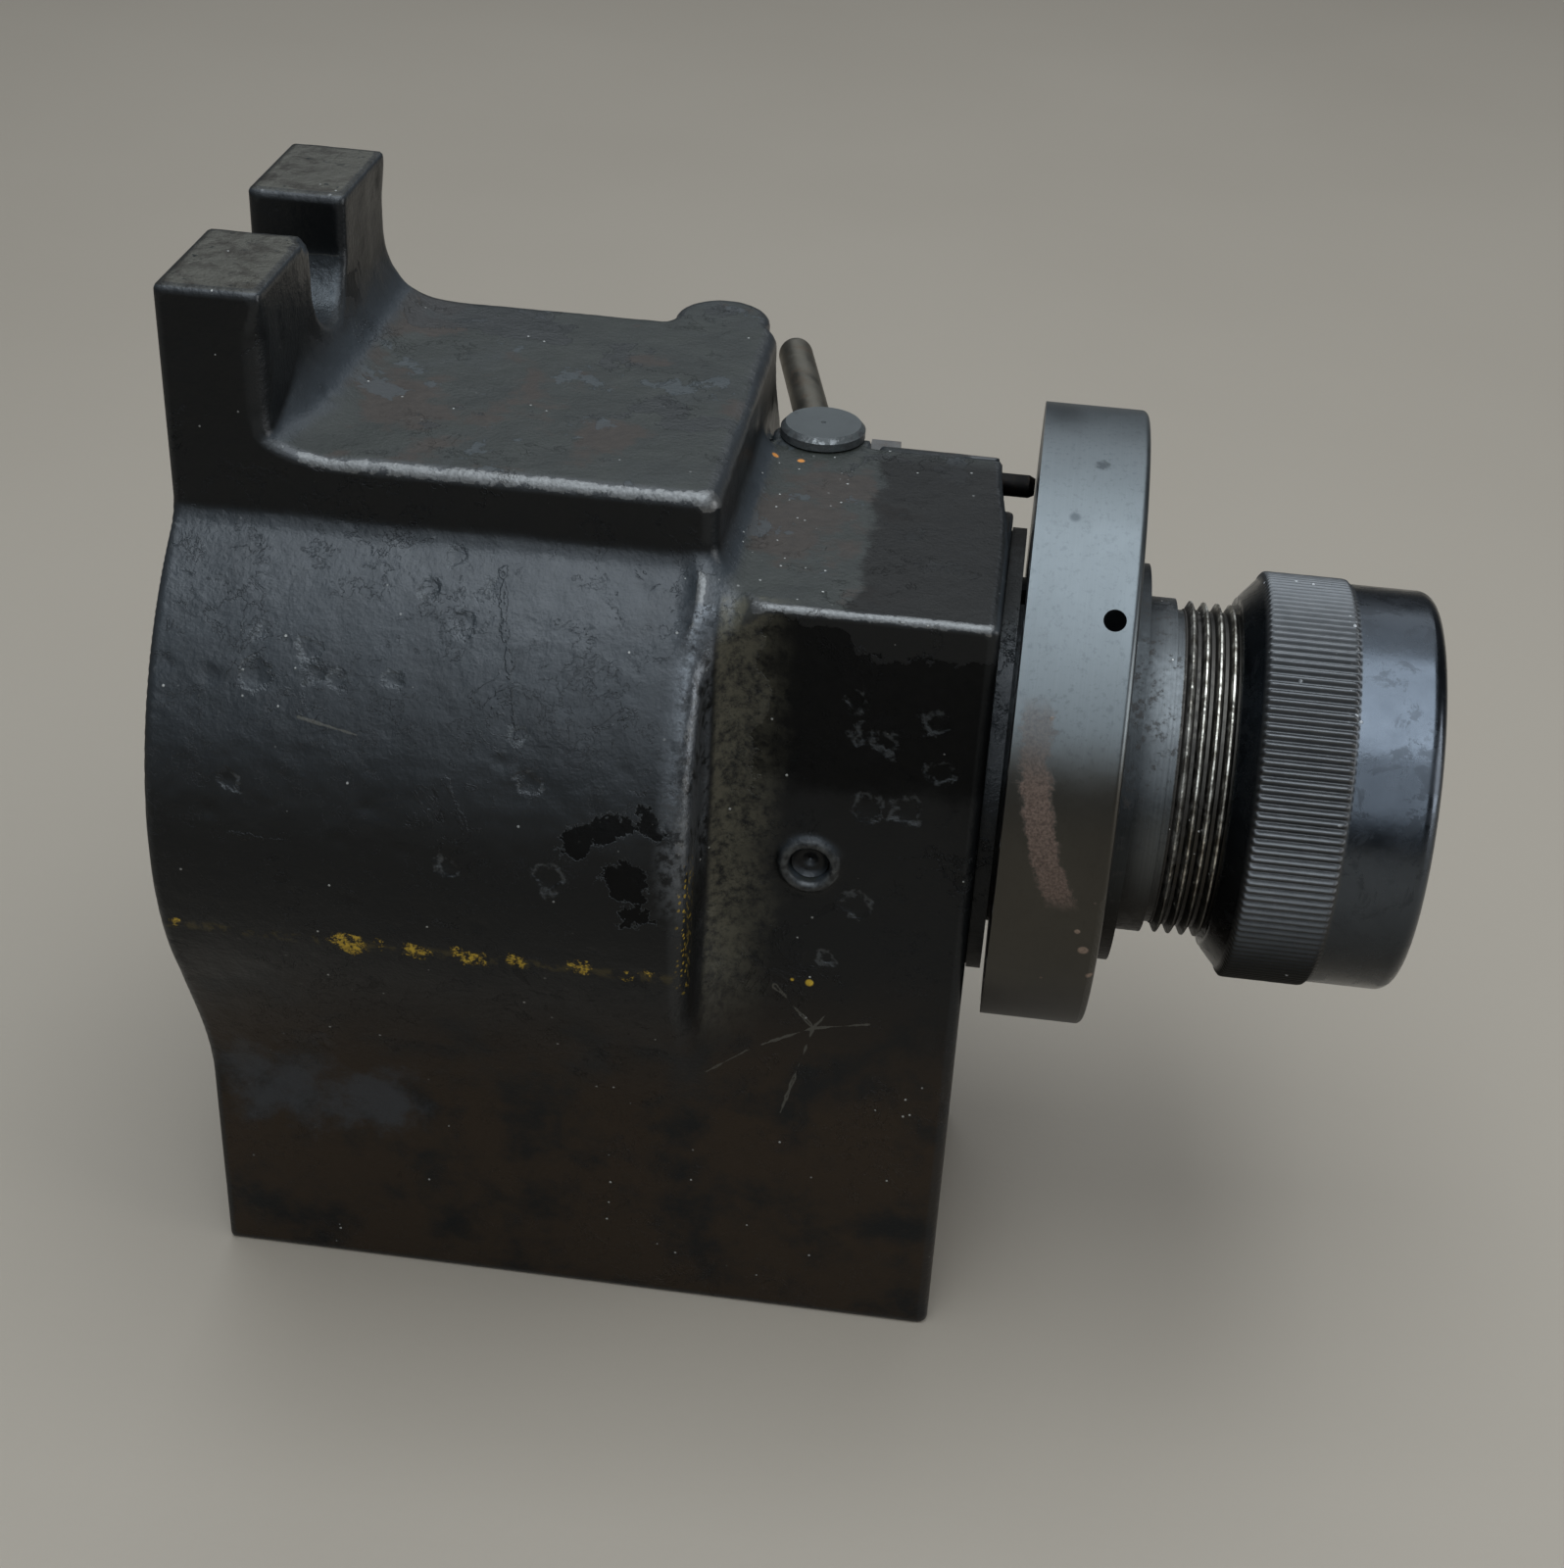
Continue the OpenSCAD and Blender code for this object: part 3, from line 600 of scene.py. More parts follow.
    # Bare metal on the lug tops and inside the bolt slot
    lug = m.both(m.step(z, (EAR_Z - 1.0) * MM, (EAR_Z - 0.4) * MM), m.step(up, 0.7, 0.9))
    across = m.math("SUBTRACT", y, SLOT_Y * MM)
    down = m.math("MINIMUM", m.math("SUBTRACT", z, SLOT_Z * MM), 0.0)
    slot = m.math("SQRT", m.math("ADD", m.both(across, across), m.both(down, down)))
    slot = m.both(m.step(slot, (SLOT_R + 0.3) * MM, (SLOT_R + 0.9) * MM, 1.0, 0.0), m.step(z, 0.159, 0.1595))
    slot = m.both(slot, m.step(m.math("ADD", z, m.both(ragged, 0.001)), 0.1672, 0.1668))
    bare = m.most(lug, slot)
    stain = m.step(m.noise(5, 5, 0.65, 0.5), 0.45, 0.62)
    iron = m.mix(stain, (0.100, 0.095, 0.077), (0.052, 0.046, 0.036))
    iron = m.mix(slot, iron, m.mix(fine, (0.026, 0.029, 0.031), (0.056, 0.062, 0.066)))
    colour = m.mix(m.both(bare, m.step(m.math("ADD", fine, ragged), 0.25, 0.35)), colour, iron)
    # Edges polished by handling and rubbed through, most of all along the pad's front and the barrel's end,
    # which also gets a painted highlight band
    pad_edge = m.both(m.step(z, 0.1485, 0.1500), m.step(y, -0.0300, -0.0320), m.step(x, -0.0440, -0.0420))
    rim_edge = m.both(m.step(x, 0.0165, 0.0180), m.step(x, 0.0215, 0.0205), m.step(z, 0.100, 0.106))
    rim_edge = m.both(rim_edge, m.step(y, -0.034, -0.036))
    block_edge = m.both(m.step(z, 0.1370, 0.1376), m.step(x, 0.0230, 0.0250), m.step(y, -0.0385, -0.0395))
    favoured = m.most(pad_edge, rim_edge, block_edge)
    polish = m.step(edge, 0.30, 0.75)
    rub = m.math("ADD", edge, m.both(ragged, 1.2))
    rub = m.math("MULTIPLY_ADD", favoured, 0.40, rub)
    rub = m.step(rub, 1.14, 1.26)
    colour = m.mix(m.both(polish, 0.7), colour, (0.022, 0.0235, 0.0245))
    rough = m.blend(m.both(polish, 0.7), rough, 0.30)
    worn = m.most(rub, bare)
    rough = m.blend(worn, rough, 0.42)
    colour = m.mix(rub, colour, m.mix(grit, (0.065, 0.066, 0.065), (0.19, 0.19, 0.185)))
    # Painted highlight: a lighter, partly metallic band down the barrel's end, for the bright reflection of
    # the light there
    end_highlight = m.both(m.step(x, 0.0145, 0.0185), m.step(x, 0.0216, 0.0206), m.step(z, 0.088, 0.106))
    end_highlight = m.both(end_highlight, m.step(z, 0.1385, 0.1370), m.step(y, -0.034, -0.036))
    end_highlight = m.both(end_highlight, m.step(m.math("ADD", fine, wander), 0.32, 0.55))
    colour = m.mix(m.both(end_highlight, 0.9), colour, m.mix(grit, (0.060, 0.065, 0.070), (0.160, 0.170, 0.180)))
    # Yellow paint left along the line where the barrel meets the base, and up its end
    smear = m.both(m.math("SUBTRACT", m.noise(2.0, 6, 0.85, 0.4), 0.5), 9.0)
    yellow = m.step(m.math("SUBTRACT", m.value("dabs"), smear), REACH - 0.35, REACH - 0.1)
    yellow = m.both(yellow, m.step(m.noise(0.9, 4, 0.8), 0.44, 0.50))
    yellow = m.most(yellow, m.near((38.4, BASE_FRONT, 71.5), 0.5, 0.3))
    yellow = m.most(yellow, m.near((35.6, BASE_FRONT, 71.8), 0.2, 0.2))
    end = m.both(m.step(x, 0.0185, 0.0205), m.step(x, 0.0235, 0.0225), m.step(y, -0.048, -0.051))
    end = m.both(end, m.step(z, 0.074, 0.078), m.step(z, 0.104, 0.096), m.speckle(0.9, 0.38, 0.6))
    line = m.step(m.math("ABSOLUTE", m.math("SUBTRACT", z, 0.0804)), 0.0003, 0.0016, 1.0, 0.0)
    line = m.both(line, m.step(y, -0.050, -0.053), m.step(m.noise(2.4, 4, 0.7), 0.46, 0.6))
    colour = m.mix(m.both(line, 0.5), colour, (0.075, 0.058, 0.018))
    colour = m.mix(m.most(yellow, end), colour, m.mix(fine, (0.30, 0.18, 0.015), (0.68, 0.47, 0.05)))
    height = m.math("ADD", height, m.both(yellow, 0.25))
    orange = m.most(m.near((23, 10.5, 139), 0.5, 0.3), m.near((27.4, 10.4, 139), 0.5, 0.3))
    colour = m.mix(orange, colour, (0.50, 0.19, 0.03))
    # Chips, each a ragged pit with a raised lip
    nick = m.both(m.math("SUBTRACT", m.noise(3.4, 5, 0.62), 0.5), 7.0)
    chip = m.step(m.math("SUBTRACT", m.value("chips"), nick), REACH - 0.9, REACH + 0.5)
    height = m.math("SUBTRACT", height, m.both(chip, 0.6))
    rim = m.both(chip, m.math("SUBTRACT", 1.0, chip), 4.0, m.step(m.noise(2.6, 3, 0.6), 0.44, 0.56))
    colour = m.mix(m.both(rim, 0.5), colour, (0.095, 0.102, 0.105))
    plug = (PLUG_X, BASE_FRONT, PLUG_Z)
    ring = m.math("SUBTRACT", m.near(plug, 4.5, 0.5, m.both(nick, 0.2)), m.near(plug, 3.1, 0.4))
    colour = m.mix(m.both(ring, m.step(fine, 0.35, 0.65), 0.8), colour, (0.070, 0.074, 0.074))
    # Dust specks, a grey smudge on the foot's front and scratches beside it
    dusty = m.both(m.step(x, 0.0205, 0.0215), m.step(x, 0.0400, 0.0290), m.step(z, 0.1375, 0.1380))
    dust = m.both(m.speckle(2.9, 0.085, 0.5), m.step(m.noise(16), 0.47, 0.6))
    dust = m.most(dust, m.both(m.speckle(1.7, 0.12, 0.30), dusty))
    colour = m.mix(dust, colour, (0.36, 0.36, 0.34))
    rough = m.blend(dust, rough, 0.62)
    height = m.math("ADD", height, m.both(dust, 0.25))
    drift = m.both(m.math("SUBTRACT", m.noise(12, 6, 0.7), 0.5), 34.0)
    smudge = m.most(m.near((-48, -40.7, 39), 3, 9, drift), m.near((-32, -40.7, 36), 2, 8, drift))
    colour = m.mix(m.both(smudge, 0.8), colour, (0.042, 0.046, 0.052))
    thin = m.both(m.math("SUBTRACT", m.noise(5, 4, 0.6), 0.5), 0.0022)
    star = (39.5, 62.5)
    scratch = m.stroke((-39.2, 118.5), (-30.2, 116.9), 0.30, m.both(thin, 0.4))
    for end in ((22.5, 53.0), (28.5, 56.5), (33.0, 70.0), (48.5, 64.5), (35.0, 44.0), (43.0, 68.0)):
        scratch = m.most(scratch, m.stroke(star, end, 0.22, thin))
    colour = m.mix(m.both(scratch, 0.75), colour, (0.085, 0.082, 0.070))
    # Flakes, the painted highlight band and worn edges reflect like metal; sideways faces are half metallic
    # over the dark base colour as painted shade
    metal = m.most(m.both(m.most(flake, end_highlight), 0.78), m.both(m.most(side_shade, right), 0.48), m.both(worn, 0.75))
    return m.finish(colour, rough, height, 0.30, metal)


def turned_steel(name, dark, light, rough, grime):
    """Lathe-turned steel: fine rings about the spindle, with oil and grime in patches."""
    m = Finish(name, metallic=1.0)
    rings = m.noise(0.35, 2, 0.6, stretch=(1, 300, 300))
    patch = m.noise(9, 5, 0.65, 0.5)
    colour = m.mix(rings, dark, light)
    film = m.step(patch, 0.48, 0.62)
    colour = m.mix(m.both(film, grime), colour, (0.035, 0.028, 0.022))
    roughness = m.blend(m.both(film, grime), m.step(rings, 0.2, 0.8, rough - 0.07, rough + 0.07), 0.6)
    height = m.math("ADD", m.both(rings, 0.5), m.both(m.noise(1.2, 3), 0.3))
    return m.finish(colour, roughness, height, 0.03)


def ground_steel():
    """The index plate: satin ground rim with fine rings, a rust streak and stains, painted shade on the
    upper rim and a painted reflection darkening the lower half.
    """
    m = Finish("ground_steel", metallic=1.0)
    x, y, z = m.split(m.place)
    rings = m.noise(0.22, 3, 0.6, stretch=(1, 260, 260))
    patch = m.noise(13, 5, 0.6, 0.4)
    mottle = m.noise(0.9, 4, 0.7)
    colour = m.mix(patch, (0.135, 0.150, 0.155), (0.190, 0.208, 0.213))
    colour = m.mix(m.both(rings, 0.30), colour, (0.085, 0.095, 0.10))
    colour = m.mix(m.step(mottle, 0.52, 0.66, 0.0, 0.40), colour, (0.085, 0.095, 0.10))
    # Painted shade: the upper rim darkened a little, toning down the overhead light's highlight
    shade = m.both(m.step(z, 0.1290, 0.1390), m.step(z, 0.1525, 0.1480), 0.42)
    colour = m.mix(shade, colour, (0.062, 0.068, 0.071))
    # Painted reflection: the lower half of the rim is dark brown, with a fairly sharp start, standing in for
    # a reflected brown floor
    ragged_z = m.math("ADD", z, m.both(m.math("SUBTRACT", m.noise(9, 4, 0.6), 0.5), 0.006))
    low = m.step(ragged_z, 0.1275, 0.1170)
    colour = m.mix(m.both(low, 0.88), colour, m.mix(patch, (0.044, 0.039, 0.031), (0.074, 0.066, 0.053)))
    # Painted reflection of the shade under the plate: the bottom band is near black
    foot = m.step(ragged_z, 0.084, 0.066)
    colour = m.mix(m.both(foot, 0.7), colour, (0.014, 0.014, 0.016))
    # Rust streak curving down the front of the rim, faint where it starts
    drop = m.math("SUBTRACT", 0.129, z)
    centre = m.math("MULTIPLY_ADD", m.both(drop, drop), 7.3, 0.0694)
    ragged = m.both(m.math("SUBTRACT", m.noise(2.6, 6, 0.75), 0.5), 0.0052)
    streak = m.math("ABSOLUTE", m.math("SUBTRACT", m.math("ADD", x, ragged), centre))
    streak = m.both(m.step(streak, 0.0017, 0.0027, 1.0, 0.0), m.step(y, -0.03, -0.036))
    streak = m.both(streak, m.step(m.math("ADD", z, ragged), 0.1305, 0.1265))
    streak = m.both(streak, m.step(m.math("ADD", z, ragged), 0.0970, 0.1010))
    streak = m.both(streak, m.step(z, 0.1250, 0.1150, 0.40, 1.0))
    spots = m.most(
        m.near((80.3, -49.3, 90.1), 0.6, 0.4),
        m.near((82.0, -47.6, 84.0), 0.5, 0.4),
        m.near((79.0, -50.2, 94.0), 0.3, 0.3),
        m.both(m.speckle(3.1, 0.13, 0.25), m.step(m.noise(14), 0.52, 0.62), m.step(y, -0.02, -0.035)),
    )
    stains = m.most(
        m.near((75.4, -10, 152.2), 0.5, 1.0, m.both(m.math("SUBTRACT", mottle, 0.5), 3.0)),
        m.near((71.9, -21.3, 148.6), 0.4, 0.8),
        m.near((83.0, -14.0, 151.0), 0.3, 0.4),
    )
    colour = m.mix(m.both(stains, 0.75), colour, (0.050, 0.057, 0.062))
    fine = m.noise(0.42, 3, 0.6)
    rust = m.mix(m.step(fine, 0.3, 0.7), (0.060, 0.038, 0.028), (0.150, 0.102, 0.078))
    colour = m.mix(m.both(streak, 0.92), colour, rust)
    colour = m.mix(spots, colour, m.mix(fine, (0.10, 0.07, 0.05), (0.33, 0.24, 0.18)))
    rough = m.step(patch, 0.3, 0.7, 0.36, 0.46)
    rough = m.blend(low, rough, 0.36)
    rough = m.blend(m.most(streak, spots), rough, 0.7)
    height = m.math("ADD", m.both(rings, 0.4), m.both(mottle, 0.45))
    height = m.math("ADD", height, m.both(m.most(spots, m.both(streak, fine)), 2.0))
    return m.finish(colour, rough, height, 0.02, m.less(m.both(m.most(streak, spots), 0.75)))


def black_oxide():
    """The nose cap: glossy black oxide, greyer and drier on the knurl, with painted shade low down and on
    the top of the smooth band.
    """
    m = Finish("black_oxide", metallic=1.0)
    x, y, z = m.split(m.place)
    knurl = m.value("knurl")
    patch = m.noise(8, 5, 0.62, 0.4)
    rings = m.noise(0.3, 2, 0.6, stretch=(1, 260, 260))
    colour = m.mix(patch, (0.058, 0.067, 0.079), (0.104, 0.118, 0.136))
    dry = m.mix(m.noise(3, 4, 0.7), (0.078, 0.081, 0.084), (0.140, 0.142, 0.143))
    colour = m.mix(knurl, colour, dry)
    # Painted shade: the lower part of the cap made near black, for the dark reflection beneath it
    colour = m.mix(m.step(z, 0.100, 0.074, 0.0, 0.88), colour, (0.014, 0.0135, 0.012))
    # Painted shade: the top of the smooth band darkened, toning down its highlight
    colour = m.mix(m.both(m.step(z, 0.1185, 0.1260), m.less(knurl), 0.35), colour, (0.022, 0.025, 0.028))
    rim = m.math("ABSOLUTE", m.math("SUBTRACT", x, (CAP_LO[0] + 17.2) * MM))
    rim = m.step(rim, 0.0006, 0.0016, 1.0, 0.0)
    crumbs = m.both(m.speckle(1.1, 0.36, 0.5), rim, m.near((118.6, -13, 123), 7, 5))
    crumbs = m.both(crumbs, m.step(m.noise(4), 0.45, 0.55))
    dust = m.most(
        m.both(m.speckle(2.6, 0.15, 0.20), knurl, m.step(m.noise(10), 0.50, 0.58)),
        m.both(m.speckle(6.0, 0.08, 0.10), m.less(knurl)),
        crumbs,
    )
    colour = m.mix(dust, colour, (0.55, 0.56, 0.56))
    wipe = m.step(m.noise(6, 5, 0.7, 0.8), 0.52, 0.60)
    colour = m.mix(m.both(wipe, m.less(knurl), 0.45), colour, (0.045, 0.050, 0.056))
    rough = m.step(m.noise(5, 4, 0.6), 0.3, 0.7, 0.20, 0.29)
    rough = m.blend(m.both(wipe, 0.6), rough, 0.40)
    rough = m.blend(knurl, rough, 0.48)
    rough = m.blend(dust, rough, 0.85)
    height = m.math("ADD", m.both(rings, 0.25), m.both(m.noise(1.1, 4, 0.65), 0.5))
    height = m.math("ADD", height, m.both(dust, 2.5))
    return m.finish(colour, rough, height, 0.035, m.less(dust))


def oiled_steel():
    """The spindle: oil-dark turned steel, with brighter thread crests and grime between them, and painted
    shade low down.
    """
    m = Finish("oiled_steel", metallic=1.0)
    x, y, z = m.split(m.place)
    above = m.math("SUBTRACT", z, AXIS_Z * MM)
    radius = m.math("SQRT", m.math("ADD", m.both(y, y), m.both(above, above)))
    rings = m.noise(0.35, 3, 0.65, stretch=(1, 90, 90))
    mottle = m.noise(1.1, 4, 0.7)
    turned = m.math("ADD", m.both(rings, 0.6), m.both(mottle, 0.4))
    colour = m.mix(turned, (0.048, 0.053, 0.056), (0.150, 0.158, 0.160))
    colour = m.mix(m.step(x, 0.0900, 0.0855, 0.0, 0.75), colour, (0.020, 0.022, 0.023))
    thread = m.both(m.step(x, 0.0921, 0.0924), m.step(radius, 0.0290, 0.0285))
    crest = m.step(radius, 0.0268, 0.0274)
    worn = m.mix(m.step(m.noise(3.5, 5, 0.75), 0.4, 0.62), (0.16, 0.145, 0.120), (0.74, 0.71, 0.63))
    colour = m.mix(m.both(thread, crest), colour, worn)
    colour = m.mix(m.both(thread, m.less(crest), 0.75), colour, (0.040, 0.033, 0.024))
    dirt = m.math("ADD", m.noise(2.2, 6, 0.75), m.both(m.step(x, 0.0965, 0.0930), thread, 0.14))
    grime = m.step(dirt, 0.53, 0.66)
    colour = m.mix(m.both(grime, 0.65), colour, (0.024, 0.019, 0.015))
    # Painted shade: the lower part of the spindle made near black
    colour = m.mix(m.step(z, 0.098, 0.080, 0.0, 0.9), colour, (0.012, 0.010, 0.008))
    specks = m.speckle(2.2, 0.10, 0.35)
    colour = m.mix(specks, colour, (0.50, 0.49, 0.46))
    rough = m.step(mottle, 0.3, 0.7, 0.34, 0.50)
    rough = m.blend(grime, rough, 0.62)
    height = m.math("ADD", m.both(rings, 0.35), m.both(mottle, 0.35))
    height = m.math("ADD", height, m.both(m.most(specks, m.both(grime, 0.3)), 0.6))
    return m.finish(colour, rough, height, 0.05, m.less(m.both(m.most(grime, specks), 0.6)))


def plain_steel(name, dark, light, rough, size=5.0, rust=0.0):
    """Small steel parts: mottled grey with light scratches, and rust if it is asked for."""
    m = Finish(name, metallic=1.0)
    patch = m.noise(size, 5, 0.65, 0.3)
    scratch = m.noise(0.4, 3, 0.7, 1.5, stretch=(1, 5, 2))
    colour = m.mix(patch, dark, light)
    colour = m.mix(m.both(scratch, 0.3), colour, dark)
    stain = m.both(m.step(m.noise(size * 0.7, 5, 0.7), 0.48, 0.64), rust)
    colour = m.mix(stain, colour, (0.12, 0.07, 0.04))
    roughness = m.step(patch, 0.3, 0.7, rough - 0.06, rough + 0.08)
    roughness = m.blend(stain, roughness, 0.7)
    height = m.math("ADD", m.both(scratch, 0.5), m.both(m.noise(1.0, 3), 0.5))
    return m.finish(colour, roughness, height, 0.04)


def worn_head():
    """The lever's head: thin grey paint, rubbed through to steel at the rim."""
    m = Finish("painted_steel")
    patch = m.noise(4.5, 5, 0.65, 0.4)
    distance = m.node(
        "ShaderNodeVectorMath",
        {0: m.place, 1: (LEVER_X * MM, LEVER_Y * MM, HEAD_Z * MM)},
        operation="DISTANCE",
    ).outputs["Value"]
    rim = m.step(distance, 0.0061, 0.0067)
    rub = m.both(rim, m.step(m.noise(1.8, 4, 0.7), 0.44, 0.54))
    colour = m.mix(patch, (0.034, 0.039, 0.039), (0.066, 0.073, 0.072))
    colour = m.mix(m.step(m.noise(2.2, 4, 0.7), 0.6, 0.68), colour, (0.02, 0.02, 0.019))
    colour = m.mix(m.both(rub, 0.7), colour, (0.20, 0.205, 0.205))
    rough = m.blend(rub, m.step(patch, 0.3, 0.7, 0.46, 0.60), 0.34)
    height = m.math("ADD", m.both(m.noise(1.2, 4), 0.6), m.both(rub, -0.3))
    return m.finish(colour, rough, height, 0.05, m.both(rub, 0.8))


def seal_rubber():
    """Black seal lips, dusty and slightly mottled."""
    m = Finish("seal_rubber")
    patch = m.noise(3, 4, 0.6)
    colour = m.mix(patch, (0.012, 0.012, 0.012), (0.035, 0.034, 0.032))
    return m.finish(colour, m.step(patch, 0.3, 0.7, 0.5, 0.7), m.noise(0.6, 3), 0.05)


def floor_finish():
    """A plain pale warm surface, very slightly mottled."""
    m = Finish("pale_floor")
    patch = m.noise(260, 4, 0.5)
    colour = m.mix(patch, (0.315, 0.273, 0.220), (0.345, 0.302, 0.246))
    return m.finish(colour, m.step(patch, 0.3, 0.7, 0.55, 0.62), m.noise(3, 3), 0.05)


# ---------------------------------------------------------------- the casting


def painted_mask(p):
    """1 on the casting's outer skin, falling to 0 on machined faces and in the bores."""
    x, y, z = p.T
    axis_d = np.hypot(y, z - AXIS_Z)
    mask = ease(bearing_bore(x, axis_d), 0.6, 2.0)
    mask *= ease(X_RIGHT - x, 0.3, 1.6)
    mask *= ease(x - X_LEFT, 0.1, 1.2)
    mask *= ease(z, 0.3, 2.0)
    return mask * ease(lever_cuts(x, y, z), 0.2, 1.2)


def pock_marks(p, normals, mask):
    """Shallow, ragged pits in the paint: how far each point sinks, in millimetres."""
    sink = np.zeros(len(p))
    wall = (mask > 0.9) & (np.abs(normals[:, 2]) < 0.97)
    pits = [(p[i], rng.uniform(0.8, 2.0)) for i in rng.choice(np.flatnonzero(wall), 110)]
    pits += [(np.array(place), radius) for place, radius in chip_places()]
    for i, (centre, radius) in enumerate(pits):
        distance = np.linalg.norm(p - centre, axis=1) / radius
        close = np.flatnonzero(distance < 2)
        d = distance[close] + 0.30 * fbm(p[close], 1.9, 2, i)
        dish = np.clip(1 - d**2, 0, 1) ** 0.6
        sink[close] = np.maximum(sink[close], (0.05 + 0.08 * radius) * dish)
    return sink * mask


def nearness(p, places):
    """REACH at the edge of the closest of some round marks, more inside it and falling to 0 outside."""
    near = np.zeros(len(p))
    for place, radius in places:
        near = np.maximum(near, REACH + radius - np.linalg.norm(p - np.array(place), axis=1))
    return near


def build_casting(material):
    """The housing's skin, from its field, with cast texture, chips and worn edges."""
    step = FULL_CELL
    lo = HOUSING_LO - 2.5 * step
    verts, quads = surface_nets(housing_field, lo, HOUSING_HI + 2.5 * step, step)
    verts = settle(housing_field, verts, step)
    normals = gradient(housing_field, verts)
    edge = np.clip(bulge(housing_field, verts, 1.2) / 0.5, 0, 1)
    mask = painted_mask(verts)
    sink = pock_marks(verts, normals, mask)
    swell = 0.10 * fbm(verts, 9.0, 3, 3.1) + 0.05 * fbm(verts, 2.2, 2, 7.7)
    verts = verts + normals * ((swell - 0.05) * mask - sink)[:, None]
    data = {"edge": edge * np.maximum(mask, 0.6)}
    data["chips"] = nearness(verts, chip_places())
    data["dabs"] = nearness(verts, dab_places())
    skin = make_object("casting", verts, quads, "housing", material, attributes=data)
    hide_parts("housing")


def build_plug(material):
    """A painted-over screw plug: a shallow bowl with a filled socket, inside its raised collar."""
    rows = []
    radii = [0.05, 0.6, 1.1, 1.5, 1.9, 2.3, 2.6, 2.8, 2.88, 2.9]
    for r in radii:
        depth = 1.7 - 1.3 * (r / 2.9) ** 2 - 0.35 * math.exp(-(((r - 1.3) / 0.5) ** 2))
        rows.append((r, PLUG_LO[1] + depth))
    rows.append((2.9, PLUG_HI[1] - 0.4))
    rows.append((2.5, PLUG_HI[1]))
    rows.append((0.05, PLUG_HI[1]))
    columns = 48
    verts = []
    for r, y in rows:
        for k in range(columns):
            a = 2 * math.pi * k / columns
            verts.append((PLUG_X + r * math.cos(a), y, PLUG_Z + r * math.sin(a)))
    faces = grid_faces(len(rows), columns)
    plug = make_object("painted_plug", verts, faces, "housing", material)
    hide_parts("side_plug")


RIDGES, POINTS_PER_RIDGE = 150, 8


def build_cap(material):
    """The nose cap, lathed with a rounded straight knurl, threads inside and soft edges."""
    columns = RIDGES * POINTS_PER_RIDGE
    x0, x1 = CAP_LO[0], CAP_HI[0]
    band_r = (CAP_HI[2] - CAP_LO[2]) / 2 - 0.75
    knurl0, knurl1 = x0 + 3.3, x0 + 17.4
    profile = [(x0 + 0.25, band_r - 3.75, 0), (x0 + 0.6, band_r - 3.3, 0)]
    profile += [(x0 + t, band_r - 3.3 + (t - 0.6) * 1.13, 0) for t in (1.2, 1.8, 2.4, 2.8)]
    profile += [(knurl0 - 0.1, band_r - 0.35, 0), (knurl0 + 0.15, band_r - 0.05, 0.45)]
    profile += [(knurl0 + 0.5, band_r, 0.9)]
    profile += [(x, band_r, 1) for x in np.linspace(knurl0 + 1, knurl1 - 0.8, 14)]
    profile += [(knurl1 - 0.35, band_r, 0.85), (knurl1 - 0.05, band_r, 0.3), (knurl1 + 0.1, band_r, 0)]
    profile += [(x, band_r, 0) for x in np.linspace(knurl1 + 0.6, x1 - 2.6, 9)]
    turn = np.linspace(0, math.pi / 2, 9)
    profile += [(x1 - 2.5 + 2.5 * math.sin(t), band_r - 2.5 + 2.5 * math.cos(t), 0) for t in turn]
    profile += [(x1, 27.5, 0), (x1 - 0.05, 25.2, 0), (x1 - 1.5, 23.5, 0), (NOSE_END + 0.5, 23.4, 0)]
    bore = 26.5
    profile += [(NOSE_END + 0.5, bore, 0)]
    pitch, start = 2.2, x0 + 2.5
    turns = int((NOSE_END - 1.5 - start) / pitch)
    for i in reversed(range(turns)):
        for part, r in ((0.88, bore), (0.56, 27.9), (0.44, 27.9), (0.12, bore)):
            profile.append((start + (i + part) * pitch, r, 0))
    profile += [(x0 + 1.6, bore, 0), (x0 + 1.6, 28.1, 0), (x0, 28.1, 0)]
    profile += [(x0, band_r - 4.0, 0)]
    angle = 2 * math.pi * np.arange(columns) / columns
    wave = 0.5 + 0.5 * np.cos(RIDGES * angle)
    crest = 0.75 * wave**0.8 + 0.12
    verts, knurl = [], []
    for x, r, strength in profile:
        radius = r + strength * crest - 0.12 * strength
        ring = [np.full(columns, x), radius * np.sin(angle), AXIS_Z + radius * np.cos(angle)]
        verts.append(np.stack(ring, 1))
        knurl.append(np.full(columns, 1.0 if knurl0 - 0.3 < x < knurl1 + 0.2 and r > 32 else 0.0))
    verts = np.concatenate(verts)
    handled = rng.normal(0, 0.012, len(verts)) * np.concatenate(knurl)
    verts[:, 2] += handled
    faces = [tuple(reversed(f)) for f in grid_faces(len(profile), columns)]
    data = {"knurl": np.concatenate(knurl)}
    cap = make_object("knurled_cap", verts, faces, "nose_cap", material, attributes=data)
    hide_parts("nose_cap")


# ---------------------------------------------------------------- build

paint = black_paint()
oxide = black_oxide()
build_casting(paint)
build_plug(paint)
build_cap(oxide)

dark = turned_steel("dark_steel", (0.10, 0.105, 0.11), (0.19, 0.195, 0.20), 0.42, 0.6)
bearing = turned_steel("bearing_steel", (0.42, 0.43, 0.44), (0.60, 0.61, 0.62), 0.25, 0.15)
shaft_black = plain_steel("small_black_oxide", (0.03, 0.032, 0.036), (0.07, 0.073, 0.08), 0.45)
RACES = ["front_outer_race", "rear_outer_race", "front_inner_race", "rear_inner_race"]
BROWN = ("brown_steel", (0.115, 0.104, 0.082), (0.215, 0.198, 0.162), 0.42, 6, 0.35)
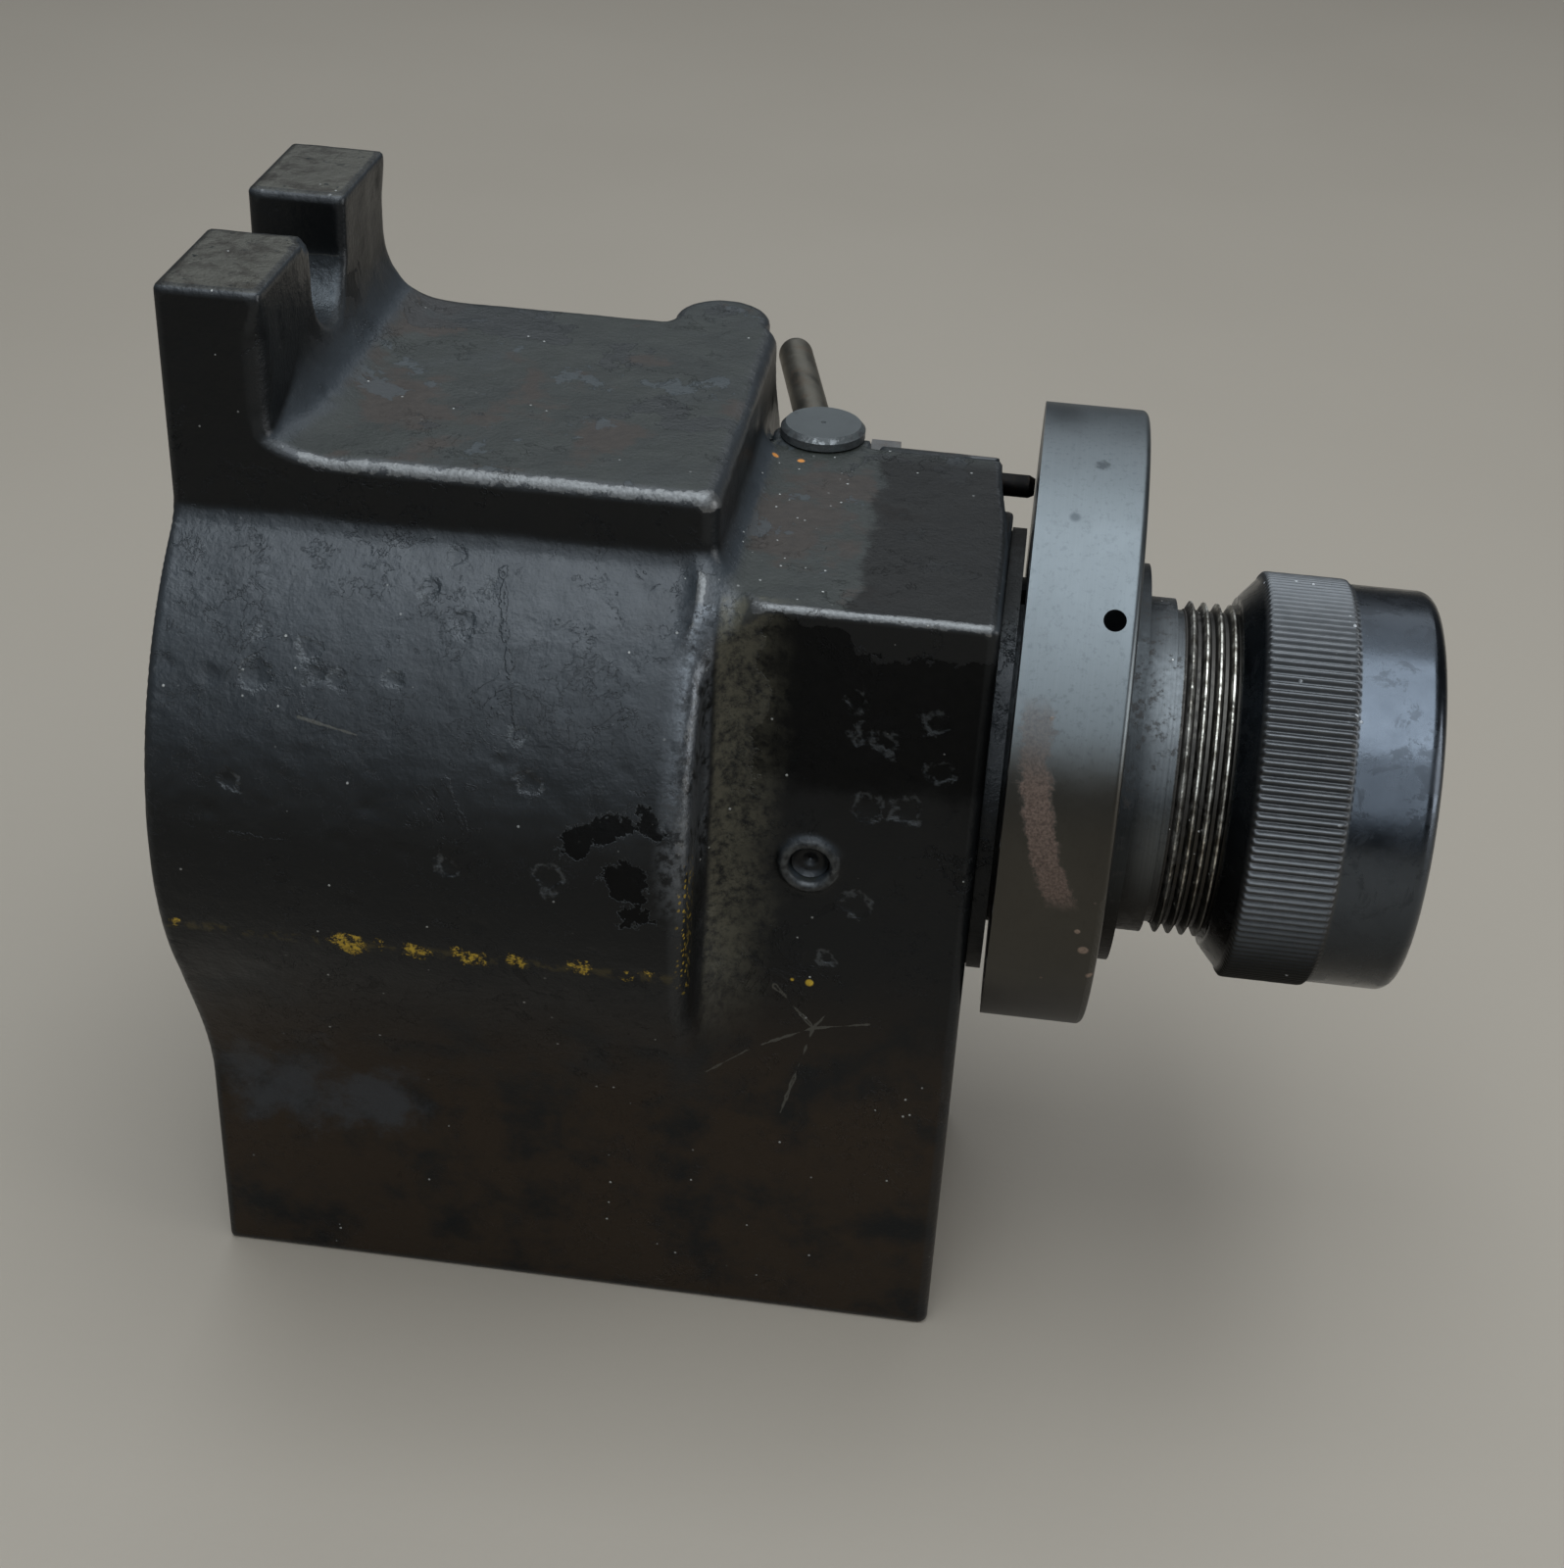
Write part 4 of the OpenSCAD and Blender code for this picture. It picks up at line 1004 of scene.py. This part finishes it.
# The plunger and its bushing: near-black steel
NEAR_BLACK = ("plunger_steel", (0.005, 0.005, 0.005), (0.016, 0.015, 0.014), 0.5, 3, 0.1)
GREY = ("yoke_steel", (0.13, 0.125, 0.12), (0.24, 0.235, 0.225), 0.42, 3, 0.3)
FINISHES = {
    paint: ["front_retainer"],
    dark: ["rear_retainer", "outer_spacer", "inner_spacer", "lock_washer", "lock_nut", "plate_key"],
    bearing: RACES + ["front_balls", "rear_balls"],
    seal_rubber(): ["front_seal", "rear_seal"],
    shaft_black: ["plate_set_screws", "yoke_screw", "lever_clip"],
    oiled_steel(): ["spindle"],
    ground_steel(): ["index_plate"],
    worn_head(): ["lever_shaft"],
    plain_steel(*BROWN): ["lever_handle"],
    plain_steel(*NEAR_BLACK): ["index_plunger", "plunger_bushing"],
    plain_steel(*GREY): ["plunger_yoke"],
}
for material, names in FINISHES.items():
    for name in names:
        mesh = nodes[name].data
        mesh.materials.clear()
        mesh.materials.append(material)


# ---------------------------------------------------------------- floor, light and camera

FLOOR_HALF = 4.0
floor_mesh = bpy.data.meshes.new("floor")
FLOOR_DROP = 0.0002
corners = [(i * FLOOR_HALF, j * FLOOR_HALF, 0) for i, j in ((-1, -1), (1, -1), (1, 1), (-1, 1))]
floor_mesh.from_pydata(corners, [], [(0, 1, 2, 3)])
floor_mesh.materials.append(floor_finish())
floor = bpy.data.objects.new("floor", floor_mesh)
floor.location.z = -FLOOR_DROP
bpy.context.scene.collection.objects.link(floor)


def softbox(name, place, target, size, power, colour):
    """A rectangular soft light at place, facing target."""
    data = bpy.data.lights.new(name, "AREA")
    data.shape = "RECTANGLE"
    data.size, data.size_y = size
    data.energy = power
    data.color = colour
    obj = bpy.data.objects.new(name, data)
    obj.location = place
    direction = Vector(target) - Vector(place)
    obj.rotation_euler = direction.to_track_quat("-Z", "Y").to_euler()
    bpy.context.scene.collection.objects.link(obj)


TARGET = (0.03, 0, 0.09)
softbox("window", (0.10, -1.30, 0.84), TARGET, (1.2, 0.85), 4.5, (0.84, 0.92, 1.0))
softbox("overhead", (0.05, -0.26, 1.38), TARGET, (1.2, 1.5), 21, (0.84, 0.92, 1.0))
softbox("rear", (0.05, 0.80, 1.24), TARGET, (1.4, 1.4), 7, (0.86, 0.93, 1.0))
softbox("side", (1.45, -0.25, 0.44), TARGET, (0.9, 0.8), 7, (0.95, 0.97, 1.0))

world = bpy.data.worlds.new("studio")
bpy.context.scene.world = world
world.use_nodes = True
background = world.node_tree.nodes["Background"]
background.inputs["Color"].default_value = (0.55, 0.60, 0.66, 1)
background.inputs["Strength"].default_value = 0.10

SENSOR, FOCAL_LENGTH, CLIP_START = 36.0, 55.04, 0.01
CAMERA_PLACE = (0.0627, -0.3474, 0.3040)
AZIMUTH, ELEVATION, ROLL = (math.radians(a) for a in (5.67, 32.38, 3.14))
back = Vector((math.sin(AZIMUTH), -math.cos(AZIMUTH), 0)) * math.cos(ELEVATION)
back = back + Vector((0, 0, math.sin(ELEVATION)))
level = Vector((math.cos(AZIMUTH), math.sin(AZIMUTH), 0))
upright = back.cross(level)
right = math.cos(ROLL) * level + math.sin(ROLL) * upright
up = -math.sin(ROLL) * level + math.cos(ROLL) * upright
camera_data = bpy.data.cameras.new("camera")
camera_data.sensor_fit = "VERTICAL"
camera_data.sensor_height = SENSOR
camera_data.lens = FOCAL_LENGTH
camera_data.clip_start = CLIP_START
camera = bpy.data.objects.new("camera", camera_data)
turned = Matrix((right, up, back)).transposed().to_4x4()
camera.matrix_world = Matrix.Translation(CAMERA_PLACE) @ turned
bpy.context.scene.collection.objects.link(camera)
bpy.context.scene.camera = camera
bpy.context.scene.view_settings.view_transform = "Standard"
